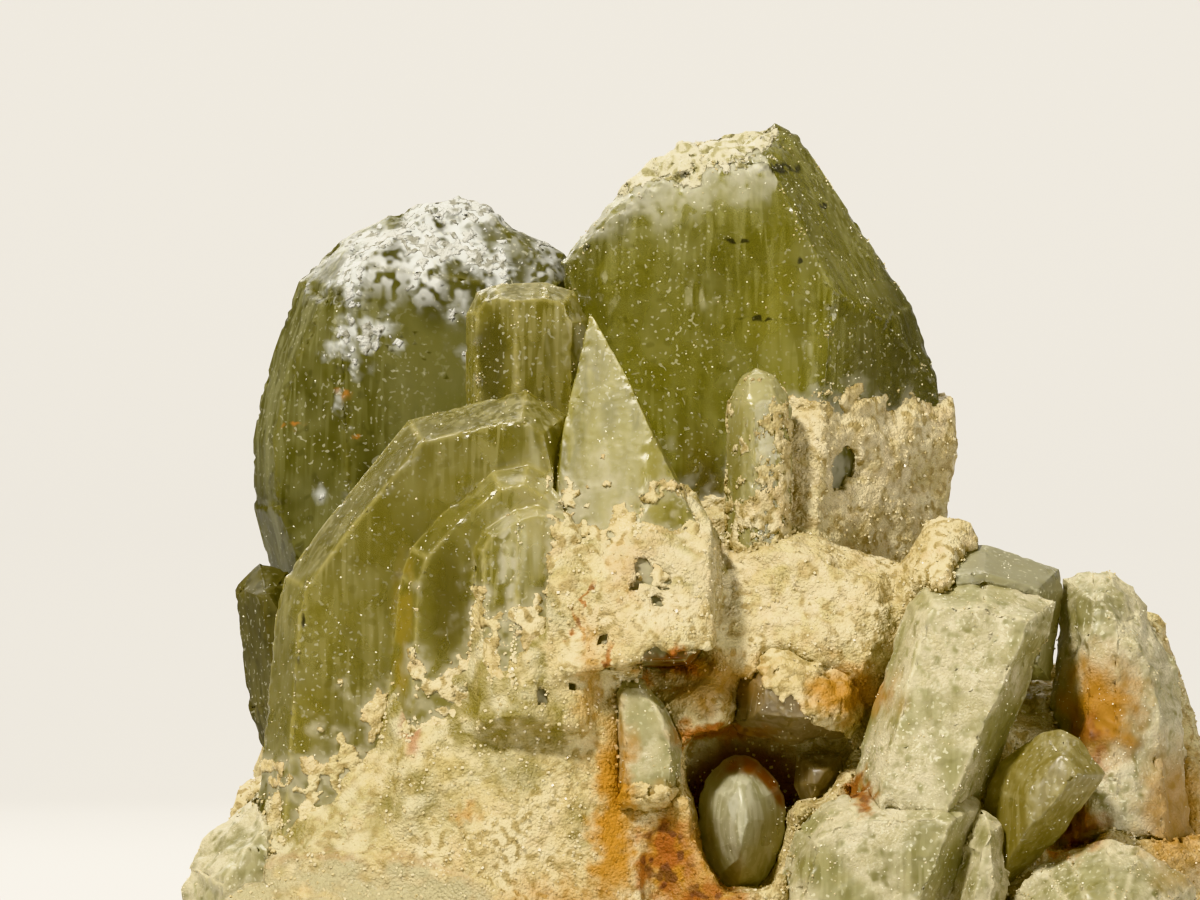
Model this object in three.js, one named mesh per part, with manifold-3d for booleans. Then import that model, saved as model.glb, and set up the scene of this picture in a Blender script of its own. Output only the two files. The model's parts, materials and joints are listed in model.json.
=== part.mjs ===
import * as THREE from "three";
import { TessellateModifier } from "three/addons/modifiers/TessellateModifier.js";
import { mergeVertices } from "three/addons/utils/BufferGeometryUtils.js";
import Module from "manifold-3d";

// A hand specimen of brazilianite: olive-yellow crystals, some of them blades and some short blocks,
// that grew on a cream, sugary matrix. Millimetres, +Z up, seen from in front along +Y.
// X = 0 and Y = 0 are the middle of the specimen, and Z = 0 is the flat base that it was sawn to.

// Driving sizes
const GAP = 0.4; // clearance between a crystal and what grew around it
const CRUST = 1.3; // thickness of the sugary coat on the crystals' lower parts
const HALF_WIDTH = 53.2; // the specimen's reach to each side
const FRONT_REACH = -29;
const BACK_REACH = 29;
const ROUGH = 0.08; // height of a lump's relief, as a share of its radius
const LUMP_DETAIL = 2; // how finely a lump's sphere is divided
const BREAKS = 15; // flat breaks round a rock
const BREAK_DEPTH = 0.86; // how far out a break lies, as a share of the rock's radius
const BREAK_SPREAD = 0.12;
const GOLDEN_ANGLE = Math.PI * (3 - Math.sqrt(5));
const WEATHER = 0.8; // how far the matrix's surface wanders
const WEATHER_LENGTH = 4.5; // the size of its waves
const WEATHER_STEP = 7.5; // longest edge on the matrix
const WEATHER_PASSES = 12;
const WEATHER_FROM = 3; // height above the base where the waves are at full strength
const BIG = 400; // a block larger than the whole specimen

const COLOURS = {
  olive: { color: 0x8f8f35, roughness: 0.25 },
  darkOlive: { color: 0x5f6130, roughness: 0.3 },
  paleGreen: { color: 0xb9bd95, roughness: 0.4 },
  smoky: { color: 0x7d7263, roughness: 0.3 },
  clear: { color: 0xa6ad92, roughness: 0.2 },
  cream: { color: 0xcfc19a, roughness: 0.85 },
};

const wasm = await Module();
wasm.setup();

// Solids from three.js shapes, and back

function solidOf(geometry) {
  const plain = geometry.clone();
  plain.deleteAttribute("normal");
  plain.deleteAttribute("uv");
  const merged = mergeVertices(plain, 1e-4);
  return new wasm.Manifold(
    new wasm.Mesh({
      numProp: 3,
      vertProperties: merged.getAttribute("position").array,
      triVerts: new Uint32Array(merged.index.array),
    }),
  );
}

function geometryOf(solid) {
  const mesh = solid.getMesh();
  const geometry = new THREE.BufferGeometry();
  geometry.setAttribute(
    "position",
    new THREE.BufferAttribute(mesh.vertProperties, 3),
  );
  geometry.setIndex(new THREE.BufferAttribute(mesh.triVerts, 1));
  const flat = geometry.toNonIndexed();
  flat.computeVertexNormals();
  return flat;
}

// The largest body of a solid, without any crumbs that a cut left
function wholePiece(solid) {
  const bodies = solid.decompose();
  return bodies.reduce((a, b) => (a.volume() > b.volume() ? a : b));
}

// Keeps what lies behind the plane through `at` that faces `towards`, moved outwards by `out`
function cutFlat(solid, at, towards, out) {
  const normal = new THREE.Vector3(...towards).normalize();
  const reach = normal.dot(new THREE.Vector3(...at)) + out;
  return solid.trimByPlane([-normal.x, -normal.y, -normal.z], -reach);
}

// A crystal is bounded by flat faces. Its outline, read clockwise from in front as [x, z] points, is
// where it is widest, at the depth `middle`. Two faces meet on each edge of the outline: they lean
// in by `lean` degrees, one towards the front and one towards the back. `faces` are the others,
// each given by a point on it and the way it faces. `out` moves every face outwards.
function crystalForm({ outline, middle, lean, faces }, out = 0) {
  let solid = solidOf(new THREE.BoxGeometry(BIG, BIG, BIG));
  const tilt = THREE.MathUtils.degToRad(lean);
  outline.forEach(([x, z], i) => {
    const [nextX, nextZ] = outline[(i + 1) % outline.length];
    const edge = new THREE.Vector3(
      nextX - x,
      middle(nextX) - middle(x),
      nextZ - z,
    );
    const outward = new THREE.Vector3(z - nextZ, 0, nextX - x).normalize();
    for (const side of [-1, 1]) {
      const inward = outward.clone().multiplyScalar(-Math.sin(tilt));
      const along = inward.add(new THREE.Vector3(0, side * Math.cos(tilt), 0));
      const normal = edge.clone().cross(along);
      if (normal.dot(outward) < 0) normal.negate();
      solid = cutFlat(solid, [x, middle(x), z], normal.toArray(), out);
    }
  });
  for (const { at, towards } of faces)
    solid = cutFlat(solid, at, towards, out);
  return solid;
}

function grownTogether(forms, out = 0) {
  return forms
    .map((form) => crystalForm(form, out))
    .reduce((a, b) => a.add(b));
}

// A prism along Y with the given [x, z] outline, from `front` to `back`
function prism(outline, front, back) {
  const shape = new THREE.Shape(outline.map(([x, z]) => new THREE.Vector2(x, z)));
  const geometry = new THREE.ExtrudeGeometry(shape, {
    depth: back - front,
    bevelEnabled: false,
  });
  geometry.rotateX(Math.PI / 2);
  geometry.translate(0, back, 0);
  return solidOf(geometry);
}

// Smooth irregular relief between -1 and 1, the same on every run
function relief(x, y, z) {
  return (
    (Math.sin(1.7 * x + 2.3 * Math.sin(0.9 * y + 1.1 * z)) +
      Math.sin(2.1 * y + 1.9 * Math.sin(1.3 * z + 0.7 * x)) +
      Math.sin(1.9 * z + 2.1 * Math.sin(1.1 * x + 1.5 * y))) /
    3
  );
}

// A lump of rock: a sphere drawn out to its radii and made uneven
function lump([x, y, z], [rx, ry, rz]) {
  const geometry = new THREE.IcosahedronGeometry(1, LUMP_DETAIL);
  const position = geometry.getAttribute("position");
  const way = new THREE.Vector3();
  for (let i = 0; i < position.count; i++) {
    way.fromBufferAttribute(position, i).normalize();
    const coarse = relief(way.x * 2 + x, way.y * 2 + y, way.z * 2 + z);
    const fine = relief(way.x * 5 + z, way.y * 5 + x, way.z * 5 + y);
    way.multiplyScalar(1 + ROUGH * coarse + 0.5 * ROUGH * fine);
    position.setXYZ(i, x + rx * way.x, y + ry * way.y, z + rz * way.z);
  }
  return solidOf(geometry);
}

// The brazilianite crystals, each read from in front

const tallForm = {
  outline: [
    [-15.4, 74.8], [-10.5, 80.7], [-6.2, 85], [-1.7, 87.3], [2.3, 88.2], [6.3, 88.9],
    [8.6, 87.7], [20.1, 70.5], [22.6, 63.4], [23.3, 55.5], [22.4, 48], [18, 22],
    [-6, 22], [-12, 56],
  ],
  middle: (x) => 8 + 0.15 * x,
  lean: 26,
  faces: [
    { at: [10.3, -2.5, 55], towards: [-0.22, -1, 0.08] },
    { at: [10.3, -2.5, 55], towards: [0.75, -0.66, -0.04] },
    { at: [0, 17, 60], towards: [-0.12, 1, 0.1] },
    { at: [16, 17, 60], towards: [0.5, 0.85, 0.1] },
    { at: [0, -1.5, 83], towards: [0.1, -0.8, 0.6] },
  ],
};

const backLeftForm = {
  outline: [
    [-46.3, 57], [-45.5, 61.5], [-44.2, 66], [-41.7, 73], [-37, 77.6], [-29.2, 80.9],
    [-25.5, 81.8], [-22.7, 80.7], [-14.9, 75.8], [-13.4, 73.5], [-12.7, 61], [-16, 24],
    [-40, 26], [-44.9, 45], [-46.2, 50],
  ],
  middle: (x) => 11 - 0.05 * x,
  lean: 24,
  faces: [
    { at: [-37, 4, 60], towards: [0.04, -1, 0.1] },
    { at: [-37, 4, 60], towards: [-0.55, -0.84, 0.05] },
    { at: [-28, 6, 74], towards: [0.1, -0.85, 0.55] },
    { at: [-28, 22, 60], towards: [-0.15, 1, 0.08] },
    { at: [-38, 20, 60], towards: [-0.6, 0.8, 0.1] },
  ],
};

const outerBladeForm = {
  outline: [
    [-46.9, 5], [-45.2, 25.5], [-43.6, 40], [-42.7, 43.4], [-38.7, 48.8], [-30.4, 59],
    [-23.7, 60.8], [-18.7, 62], [-14.5, 59.5], [-12, 50], [-12, 5],
  ],
  middle: () => -7,
  lean: 28,
  faces: [
    { at: [-35, -12, 40], towards: [-0.07, -1, 0.05] },
    { at: [-30, -2.5, 40], towards: [-0.1, 1, 0.04] },
  ],
};

const innerBladeForm = {
  outline: [
    [-33.6, 16], [-32.2, 33], [-31.2, 43.3], [-30.1, 46.3], [-27.2, 49.6], [-22, 53.9],
    [-18.5, 54.6], [-14, 52], [-12, 44], [-12, 16],
  ],
  middle: () => -12.6,
  lean: 36,
  faces: [
    { at: [-24, -15.6, 40], towards: [-0.05, -1, 0.05] },
    { at: [-24, -8, 40], towards: [0, 1, 0] },
  ],
};

const stepForm = {
  outline: [
    [-23.9, 46.3], [-22.8, 48.2], [-19.7, 50.2], [-17.5, 50.6], [-14.5, 49.9],
    [-12.4, 47], [-12.3, 28], [-24.1, 28],
  ],
  middle: () => -15,
  lean: 24,
  faces: [
    { at: [-19.4, -18.2, 45], towards: [-0.3, -1, 0.12] },
    { at: [-19.4, -18.2, 45], towards: [0.22, -1, 0.1] },
    { at: [-18, -10, 45], towards: [0, 1, 0] },
  ],
};

const upperBladeForm = {
  outline: [
    [-24.9, 46], [-24.7, 69.8], [-23.7, 71.8], [-21.7, 72.6], [-16.7, 72.8],
    [-13.9, 71.9], [-12.5, 69], [-12.2, 46],
  ],
  middle: () => -1,
  lean: 24,
  faces: [
    { at: [-19.6, -5.5, 62], towards: [-0.45, -0.9, 0.04] },
    { at: [-19.6, -5.5, 62], towards: [0.1, -1, 0.06] },
    { at: [-18, 2.6, 60], towards: [0, 1, 0.05] },
  ],
};

const centreForm = {
  outline: [
    [-13.4, 71.6], [-12.4, 70.8], [-11.5, 69], [-2, 53.6], [-1.2, 47], [-0.6, 37],
    [-2.4, 34.6], [-15.6, 34], [-17.2, 47], [-15.2, 57],
  ],
  middle: (x) => -12 - 0.1 * (x + 8),
  lean: 7,
  faces: [
    { at: [-7, -15.8, 52], towards: [-0.3, -1, 0.3] },
    { at: [-7, -15.8, 52], towards: [0.16, -1, 0.24] },
    { at: [-8, -4, 50], towards: [0.1, 1, 0.1] },
  ],
};

const smallPrismForm = {
  outline: [
    [1, 42], [1.2, 57], [1.4, 61], [2.8, 63.6], [4.3, 64.3], [6.1, 63.5], [7.3, 61.9],
    [7.9, 60.2], [7.9, 42],
  ],
  middle: () => -6,
  lean: 30,
  faces: [
    { at: [3.9, -9.6, 52], towards: [-0.5, -0.87, 0.02] },
    { at: [3.9, -9.6, 52], towards: [0.5, -0.87, 0.02] },
    { at: [4.3, -8.2, 62], towards: [0.1, -0.8, 0.6] },
    { at: [4.3, -3.2, 52], towards: [0, 1, 0] },
  ],
};

const edgeForm = {
  outline: [
    [-48.9, 40], [-47.7, 42.5], [-45.5, 44.7], [-42.7, 43.8], [-40, 40], [-40, 14],
    [-45, 16], [-46.6, 30], [-48.3, 35],
  ],
  middle: () => 7,
  lean: 26,
  faces: [
    { at: [-46, 1.5, 36], towards: [-0.25, -1, 0.05] },
    { at: [-46, 14, 36], towards: [-0.2, 1, 0.15] },
  ],
};

// The pale crystals and blocks on the right

const sideForm = {
  outline: [
    [11.4, 14], [14.5, 27], [19.1, 41], [20.8, 42.6], [26.8, 42.8], [33.9, 41],
    [33.4, 37.5], [31.3, 31.6], [27.8, 23.3], [23, 11],
  ],
  middle: () => -13,
  lean: 20,
  faces: [
    { at: [24, -20.5, 32], towards: [-0.06, -1, 0.14] },
    { at: [24, -3, 32], towards: [0, 1, 0] },
  ],
};

const greyForm = {
  outline: [
    [21, 46.4], [27.2, 46.6], [34.4, 44.2], [34.8, 42], [33.6, 33], [21, 33],
  ],
  middle: () => -7,
  lean: 22,
  faces: [
    { at: [30, -13.5, 42], towards: [0.15, -1, 0.1] },
    { at: [30, 2, 42], towards: [0, 1, 0.1] },
  ],
};

const lowerBlockForm = {
  outline: [
    [5.6, 3], [6.3, 13], [7.8, 18.6], [10.5, 21], [13.3, 22.2], [22, 22.4],
    [26.3, 21.4], [27, 19], [24.6, 13.6], [21.6, 3],
  ],
  middle: () => -17,
  lean: 24,
  faces: [
    { at: [16, -23.5, 14], towards: [-0.08, -1, 0.12] },
    { at: [16, -8, 14], towards: [0, 1, 0] },
  ],
};

const farRightForm = {
  outline: [
    [31, 14], [33.8, 36], [34.3, 43.3], [37.6, 44.4], [41.3, 43.9], [43.2, 40.4],
    [46.4, 36.6], [47, 30], [49.4, 14],
  ],
  middle: () => -5,
  lean: 24,
  faces: [
    { at: [40, -13, 32], towards: [-0.12, -1, 0.12] },
    { at: [40, -13, 32], towards: [0.4, -0.9, 0.1] },
    { at: [40, 4, 32], towards: [0.1, 1, 0.1] },
  ],
};

const stubForm = {
  outline: [
    [26.8, 22.4], [28.3, 25.2], [32.3, 28.1], [34.3, 28.5], [36.2, 27.5], [37.6, 25.6],
    [39.1, 23.6], [38.6, 21.6], [34.3, 17.6], [30, 11.6], [26, 12],
  ],
  middle: (x) => -17 - 0.35 * (x - 32),
  lean: 30,
  faces: [
    { at: [32, -23, 20], towards: [-0.3, -0.95, 0.25] },
    { at: [36, -23.4, 24], towards: [0.45, -0.8, 0.35] },
    { at: [32, -11, 20], towards: [0.3, 0.95, -0.1] },
  ],
};

const cornerForm = {
  outline: [
    [28.6, 8], [29.6, 12.6], [32.2, 15], [34.8, 16.4], [38.8, 17.4], [42, 17],
    [45, 15.3], [47.6, 13], [48.4, 9], [46, 3], [31, 3],
  ],
  middle: () => -19,
  lean: 34,
  faces: [
    { at: [38, -28.2, 8], towards: [-0.1, -1, 0.15] },
    { at: [38, -26.5, 13], towards: [0, -0.75, 0.66] },
    { at: [38, -10, 10], towards: [0, 1, 0.2] },
  ],
};

const sliverForm = {
  outline: [
    [22.8, 9], [24.6, 17], [26.6, 20.4], [28.7, 19.2], [29.4, 13], [28, 5], [23.4, 5],
  ],
  middle: () => -19,
  lean: 26,
  faces: [
    { at: [26.4, -23, 14], towards: [0.25, -1, 0.1] },
    { at: [26.4, -14, 14], towards: [0, 1, 0] },
  ],
};

// The crystals in and round the vug

const columnForm = {
  outline: [
    [-9.9, 20], [-10, 32], [-9, 33.6], [-6.8, 33.4], [-4.6, 30.6], [-3.1, 27],
    [-3.4, 20.4],
  ],
  middle: () => -15.5,
  lean: 14,
  faces: [
    { at: [-7, -19.4, 26], towards: [-0.1, -1, 0.1] },
    { at: [-7, -12, 26], towards: [0, 1, 0] },
  ],
};

const pocketForm = {
  outline: [
    [-1.9, 19.4], [-1.3, 22.6], [0.3, 25], [2.6, 26], [5, 25], [6.9, 22.4], [7.4, 19.2],
    [6.6, 15.6], [4.9, 12.8], [2.6, 11.8], [0, 13.2], [-1.4, 16],
  ],
  middle: () => -10,
  lean: 38,
  faces: [
    { at: [2.6, -15.2, 18], towards: [-0.1, -1, 0.05] },
    { at: [3, -14.4, 22], towards: [0.1, -0.85, 0.5] },
    { at: [2.6, -1, 19], towards: [0, 1, 0] },
  ],
};

const smokyUpperForm = {
  outline: [
    [1.6, 29], [2.6, 33.6], [5.4, 37], [9, 36.4], [14.6, 33.4], [14.4, 28.6],
    [13, 27.4], [7.4, 26.6], [2.4, 27.8],
  ],
  middle: () => -11,
  lean: 30,
  faces: [
    { at: [6, -16, 31], towards: [-0.35, -1, -0.25] },
    { at: [6, -16, 31], towards: [0.3, -1, 0.35] },
    { at: [8, -4, 31], towards: [0, 1, 0] },
  ],
};

const smokyLowerForm = {
  outline: [
    [7.9, 22.6], [8.2, 25.8], [10, 26.2], [12.6, 25.6], [13, 23.8], [10.9, 20.4],
    [9, 20.4],
  ],
  middle: () => -9.5,
  lean: 30,
  faces: [
    { at: [10.4, -12.6, 23.4], towards: [-0.2, -1, 0.1] },
    { at: [10.4, -2, 23.4], towards: [0, 1, 0] },
  ],
};

const lowLeftForm = {
  outline: [
    [-HALF_WIDTH, 3], [-HALF_WIDTH, 10], [-52.3, 16], [-49.6, 18.6], [-48.6, 20],
    [-45.4, 22.4], [-41, 21], [-39, 3],
  ],
  middle: () => -5,
  lean: 24,
  faces: [
    { at: [-48, -14, 12], towards: [-0.1, -1, 0.25] },
    { at: [-48, 8, 12], towards: [-0.2, 1, 0.2] },
  ],
};

// What keeps its shape comes first: each crystal is cut back from those before it in the list.
const CRYSTALS = [
  ["small_prism", [smallPrismForm], COLOURS.olive],
  ["centre_crystal", [centreForm], COLOURS.olive],
  [
    "front_blades",
    [outerBladeForm, innerBladeForm, stepForm, upperBladeForm],
    COLOURS.olive,
  ],
  ["tall_crystal", [tallForm], COLOURS.olive],
  ["back_left_crystal", [backLeftForm], COLOURS.darkOlive],
  ["edge_crystal", [edgeForm], COLOURS.darkOlive],
  ["lower_block", [lowerBlockForm], COLOURS.paleGreen],
  ["side_crystal", [sideForm], COLOURS.paleGreen],
  ["grey_crystal", [greyForm], COLOURS.clear],
  ["stub_crystal", [stubForm], COLOURS.paleGreen],
  ["corner_crystal", [cornerForm], COLOURS.paleGreen],
  ["sliver_crystal", [sliverForm], COLOURS.paleGreen],
  ["far_right_crystal", [farRightForm], COLOURS.paleGreen],
  ["column_crystal", [columnForm], COLOURS.paleGreen],
  ["pocket_crystal", [pocketForm], COLOURS.clear],
  ["smoky_crystal_upper", [smokyUpperForm], COLOURS.smoky],
  ["smoky_crystal_lower", [smokyLowerForm], COLOURS.smoky],
  ["low_left_block", [lowLeftForm], COLOURS.paleGreen],
];

// The matrix

// Broken rock behind and under the crystals, as [centre, radii]
const ROCKS = [
  [[-28, 4, 8], [26, 24, 22]],
  [[0, 4, 10], [33, 25, 30]],
  [[28, 3, 8], [28, 24, 26]],
  [[-26, 13, 20], [21, 15, 22]],
  [[6, 13, 24], [22, 15, 24]],
  [[34, 8, 15], [19, 18, 22]],
  [[-34, -8, 5], [19, 16, 12]],
  [[34, -8, 5], [20, 17, 12]],
];

// Crusted ledges and blocks of the front, read from in front as the crystals are
const LEDGES = [
  {
    outline: [
      [-46.5, -4], [-45.6, 19], [-40, 26], [-32, 31.6], [-26, 37.6], [-20, 42], [-14, 43.5],
      [-11, 38], [-9, -4],
    ],
    middle: () => -10,
    lean: 30,
    faces: [
      { at: [-25, -18.4, 20], towards: [-0.25, -1, 0.2] },
      { at: [-20, -19.2, 20], towards: [0.16, -1, 0.12] },
      { at: [-25, 0, 20], towards: [0, 1, 0] },
    ],
  },
  {
    outline: [
      [-52.6, -4], [-51.6, 10.2], [-46, 13.6], [-38.7, 15.8], [-32.7, 16.2],
      [-28.7, 14.8], [-24, 12], [-21, -4],
    ],
    middle: () => -13,
    lean: 40,
    faces: [
      { at: [-38, -23.5, 8], towards: [-0.1, -1, 0.25] },
      { at: [-38, -21, 14], towards: [0, -0.5, 0.85] },
      { at: [-38, 4, 8], towards: [0, 1, 0] },
    ],
  },
  {
    outline: [
      [-20, -4], [-19.4, 31], [-15.6, 38], [-6.4, 37], [-1, 31], [-1.6, 22],
      [1.4, 12], [3, -4],
    ],
    middle: () => -8,
    lean: 24,
    faces: [
      { at: [-7, -18.2, 20], towards: [0.05, -1, 0.12] },
      { at: [0, -17.6, 20], towards: [0.4, -1, 0.05] },
      { at: [-7, 0, 20], towards: [0, 1, 0] },
    ],
  },
  {
    outline: [[-8, 24], [-8, 33.4], [0.4, 34.6], [3, 31.6], [2.2, 27], [-2, 24]],
    middle: () => -10,
    lean: 20,
    faces: [
      { at: [-2, -15.8, 30], towards: [0.1, -1, 0.2] },
      { at: [-2, 0, 30], towards: [0, 1, 0] },
    ],
  },
  {
    outline: [
      [-3, 28], [-2.4, 44.5], [2, 48.4], [11, 48], [18, 45], [20, 40], [17.5, 30],
      [14, 25.6], [7, 28],
    ],
    middle: () => -6,
    lean: 26,
    faces: [
      { at: [6, -12.4, 40], towards: [-0.1, -1, 0.25] },
      { at: [14, -12.8, 37], towards: [0.1, -1, 0.1] },
      { at: [4, -10.6, 46], towards: [-0.2, -0.8, 0.6] },
      { at: [6, 0, 30], towards: [0, 1, 0] },
    ],
  },
  {
    outline: [
      [16, 34], [17, 43.4], [21, 48.9], [22.6, 49.4], [24.7, 49.2], [27.3, 46.7],
      [28.4, 42.4], [27, 34],
    ],
    middle: () => -8,
    lean: 30,
    faces: [
      { at: [22, -17, 44], towards: [0.05, -1, 0.3] },
      { at: [22, 2, 44], towards: [0, 1, 0.2] },
    ],
  },
  {
    outline: [
      [38, -4], [40, 39], [43, 40.3], [46.4, 38.7], [47.8, 31.5], [48.8, 26.5],
      [50.6, 20], [52.4, 12], [HALF_WIDTH + 0.4, 6], [HALF_WIDTH + 0.4, -4],
    ],
    middle: () => 0,
    lean: 22,
    faces: [
      { at: [46, -10.6, 28], towards: [0.1, -1, 0.16] },
      { at: [49, -9.6, 24], towards: [0.6, -1, 0.1] },
      { at: [46, 12, 24], towards: [0.1, 1, 0.2] },
    ],
  },
  {
    outline: [[1, -4], [2, 10], [6, 13.4], [9, 12], [30, 12], [46, 4], [48, -4]],
    middle: () => -12,
    lean: 32,
    faces: [
      { at: [12, -20.6, 6], towards: [0, -1, 0.12] },
      { at: [12, 0, 6], towards: [0, 1, 0] },
    ],
  },
];

// Where the sugary coat lies on a crystal, as [x, z] outlines
const COAT_ON_BLADES = [
  [-50, 22], [-44.9, 22], [-41.1, 21.9], [-39, 25.1], [-36.1, 27.5], [-32.6, 31.3],
  [-30.8, 34.2], [-28.2, 36.6], [-26.4, 38.6], [-23.8, 40.1], [-22, 41.9],
  [-20, 43.3], [-17.6, 44.8], [-14.2, 46.5], [-9, 49], [2, 46], [2, 0], [-50, 0],
];
const COAT_ON_CENTRE = [
  [-20, 44], [-17.2, 49.6], [-13.6, 52], [-10, 49.5], [-6.8, 52], [-2.5, 52.6],
  [2, 51], [2, 35.6], [-1.4, 36.6], [-3.6, 34.6], [-6.8, 36.8], [-9, 30], [-20, 30],
];
const COAT_ON_TALL = [
  [-4, 51.5], [0, 53], [1.5, 54.4], [7.4, 59.4], [10.4, 61.6], [15, 61.4],
  [18.4, 62.3], [26, 61.2], [26, 20], [-12, 20],
];

// The vug, the small hole above it, and the cleft between the blocks on the right
const VUG = {
  outline: [
    [-2.7, 27.5], [1, 28.2], [2.4, 31], [7, 32.4], [14.2, 30], [13.2, 24], [10.9, 20.6],
    [8.2, 21.4], [7.6, 17], [5.6, 12.4], [0.8, 12], [-1.9, 17], [-2.9, 23],
  ],
  back: -6,
};
const UPPER_HOLE = {
  outline: [
    [-7, 36.4], [-4.5, 35.4], [-1.5, 36.3], [0.6, 35.2], [0.2, 33.4], [-3.5, 33],
    [-5.8, 34],
  ],
  back: -13,
};
const RIGHT_CLEFT = {
  outline: [
    [28, 24], [34.6, 42], [35.4, 42], [35.4, 28], [39.6, 22], [38, 16.4], [33.6, 16],
  ],
  back: -10,
};

// A broken rock: a lump with flat breaks all round it
function rock(centre, radii) {
  let solid = lump(centre, radii);
  const shrink = new THREE.Vector3(...radii);
  for (let i = 0; i < BREAKS; i++) {
    const height = 1 - (2 * i + 1) / BREAKS;
    const turn = i * GOLDEN_ANGLE + centre[0];
    const level = Math.sqrt(1 - height * height);
    const way = new THREE.Vector3(
      level * Math.cos(turn),
      level * Math.sin(turn),
      height,
    );
    const depth = BREAK_DEPTH + BREAK_SPREAD * relief(i, centre[0], centre[2]);
    const at = way.clone().multiply(shrink).multiplyScalar(depth);
    const towards = way.clone().divide(shrink);
    at.add(new THREE.Vector3(...centre));
    solid = cutFlat(solid, at.toArray(), towards.toArray(), 0);
  }
  return solid;
}

function coat(forms, outline) {
  return grownTogether(forms, CRUST).intersect(
    prism(outline, FRONT_REACH, BACK_REACH),
  );
}

// Makes a solid's surface uneven by bending the space that it stands in. The base stays flat.
function weathered(solid) {
  const fine = new TessellateModifier(WEATHER_STEP, WEATHER_PASSES).modify(
    geometryOf(solid),
  );
  const position = fine.getAttribute("position");
  for (let i = 0; i < position.count; i++) {
    const [x, y, z] = [position.getX(i), position.getY(i), position.getZ(i)];
    const hold = Math.min(1, Math.max(0, z / WEATHER_FROM));
    const [u, v, w] = [x, y, z].map((c) => c / WEATHER_LENGTH);
    position.setXYZ(
      i,
      x + WEATHER * hold * relief(u, v, w),
      y + WEATHER * hold * relief(v + 7, w, u),
      z + WEATHER * hold * relief(w, u + 3, v),
    );
  }
  return solidOf(fine);
}

function matrixOf(clearances) {
  const limits = solidOf(
    new THREE.BoxGeometry(
      2 * HALF_WIDTH,
      BACK_REACH - FRONT_REACH,
      BIG,
    ).translate(0, (BACK_REACH + FRONT_REACH) / 2, BIG / 2),
  );
  const joined = [
    ...ROCKS.map(([centre, radii]) => rock(centre, radii)),
    ...LEDGES.map((ledge) => crystalForm(ledge)),
    coat([outerBladeForm, innerBladeForm, stepForm], COAT_ON_BLADES),
    coat([centreForm], COAT_ON_CENTRE),
    coat([tallForm], COAT_ON_TALL),
  ].reduce((a, b) => a.add(b));
  let solid = weathered(joined.intersect(limits));
  for (const { outline, back } of [VUG, UPPER_HOLE, RIGHT_CLEFT])
    solid = solid.subtract(prism(outline, -BIG, back));
  for (const clearance of clearances) solid = solid.subtract(clearance);
  return wholePiece(solid);
}

// The specimen, put together

function pieceOf(name, solid, colour) {
  const material = new THREE.MeshStandardMaterial({ ...colour, metalness: 0 });
  const mesh = new THREE.Mesh(geometryOf(solid), material);
  mesh.name = name;
  return mesh;
}

const specimen = new THREE.Group();
const clearances = [];
for (const [name, forms, colour] of CRYSTALS) {
  let solid = grownTogether(forms);
  for (const clearance of clearances) solid = solid.subtract(clearance);
  specimen.add(pieceOf(name, wholePiece(solid), colour));
  clearances.push(grownTogether(forms, GAP));
}
specimen.add(pieceOf("matrix", matrixOf(clearances), COLOURS.cream));

const bounds = new THREE.Box3().setFromObject(specimen);
const middle = bounds.getCenter(new THREE.Vector3());
for (const { geometry } of specimen.children)
  geometry.translate(-middle.x, -middle.y, -bounds.min.z);

export default specimen;
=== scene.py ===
import math
import random

import bmesh
import bpy
from mathutils import Euler, Matrix, Vector, kdtree, noise
from mathutils.bvhtree import BVHTree
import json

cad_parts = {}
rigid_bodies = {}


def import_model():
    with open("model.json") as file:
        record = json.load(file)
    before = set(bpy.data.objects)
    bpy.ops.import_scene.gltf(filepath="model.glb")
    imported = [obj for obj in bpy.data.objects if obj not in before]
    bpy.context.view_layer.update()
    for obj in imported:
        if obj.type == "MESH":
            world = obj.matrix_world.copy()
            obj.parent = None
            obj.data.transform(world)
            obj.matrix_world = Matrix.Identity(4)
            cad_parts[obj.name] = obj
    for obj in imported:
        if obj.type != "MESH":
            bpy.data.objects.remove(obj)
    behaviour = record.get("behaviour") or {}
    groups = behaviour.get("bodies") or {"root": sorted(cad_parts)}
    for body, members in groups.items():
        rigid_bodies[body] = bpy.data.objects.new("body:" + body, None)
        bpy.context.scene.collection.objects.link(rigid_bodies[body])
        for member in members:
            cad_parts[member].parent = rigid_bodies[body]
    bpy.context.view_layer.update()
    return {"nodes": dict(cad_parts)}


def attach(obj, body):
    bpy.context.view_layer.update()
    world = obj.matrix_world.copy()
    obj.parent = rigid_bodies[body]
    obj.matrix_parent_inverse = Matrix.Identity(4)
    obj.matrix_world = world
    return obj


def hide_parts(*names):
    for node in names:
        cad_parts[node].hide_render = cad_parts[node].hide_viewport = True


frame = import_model()

# The matrix
# Cream, sugary rock of quartz and feldspar that every crystal grew on, with a thin coat of the same
# sugar over the crystals' lower parts. It is one closed piece that stands on its sawn base.
MM = 0.001
ROCK_STEP = 0.76 * MM
GRAIN_CELL = 0.95
CLUMP_SIZE = 2.4
WAVE_SIZE = 7.5
PIT_DEPTH = 0.3
LEDGE_DEPTH = 0.9
COAT_SINK = 2.4
HIDDEN_GAP = 0.9 * MM
CREAM = (0.42, 0.33, 0.145)
PALE_SUGAR = (0.58, 0.50, 0.30)
GREENISH_SUGAR = (0.33, 0.28, 0.10)
GRAIN_GAP = (0.30, 0.225, 0.085)
TAN = (0.38, 0.25, 0.10)
WINDOW_OLIVE = (0.17, 0.135, 0.022)
OCHRE = (0.335, 0.157, 0.011)
RUST = (0.24, 0.072, 0.005)
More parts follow.
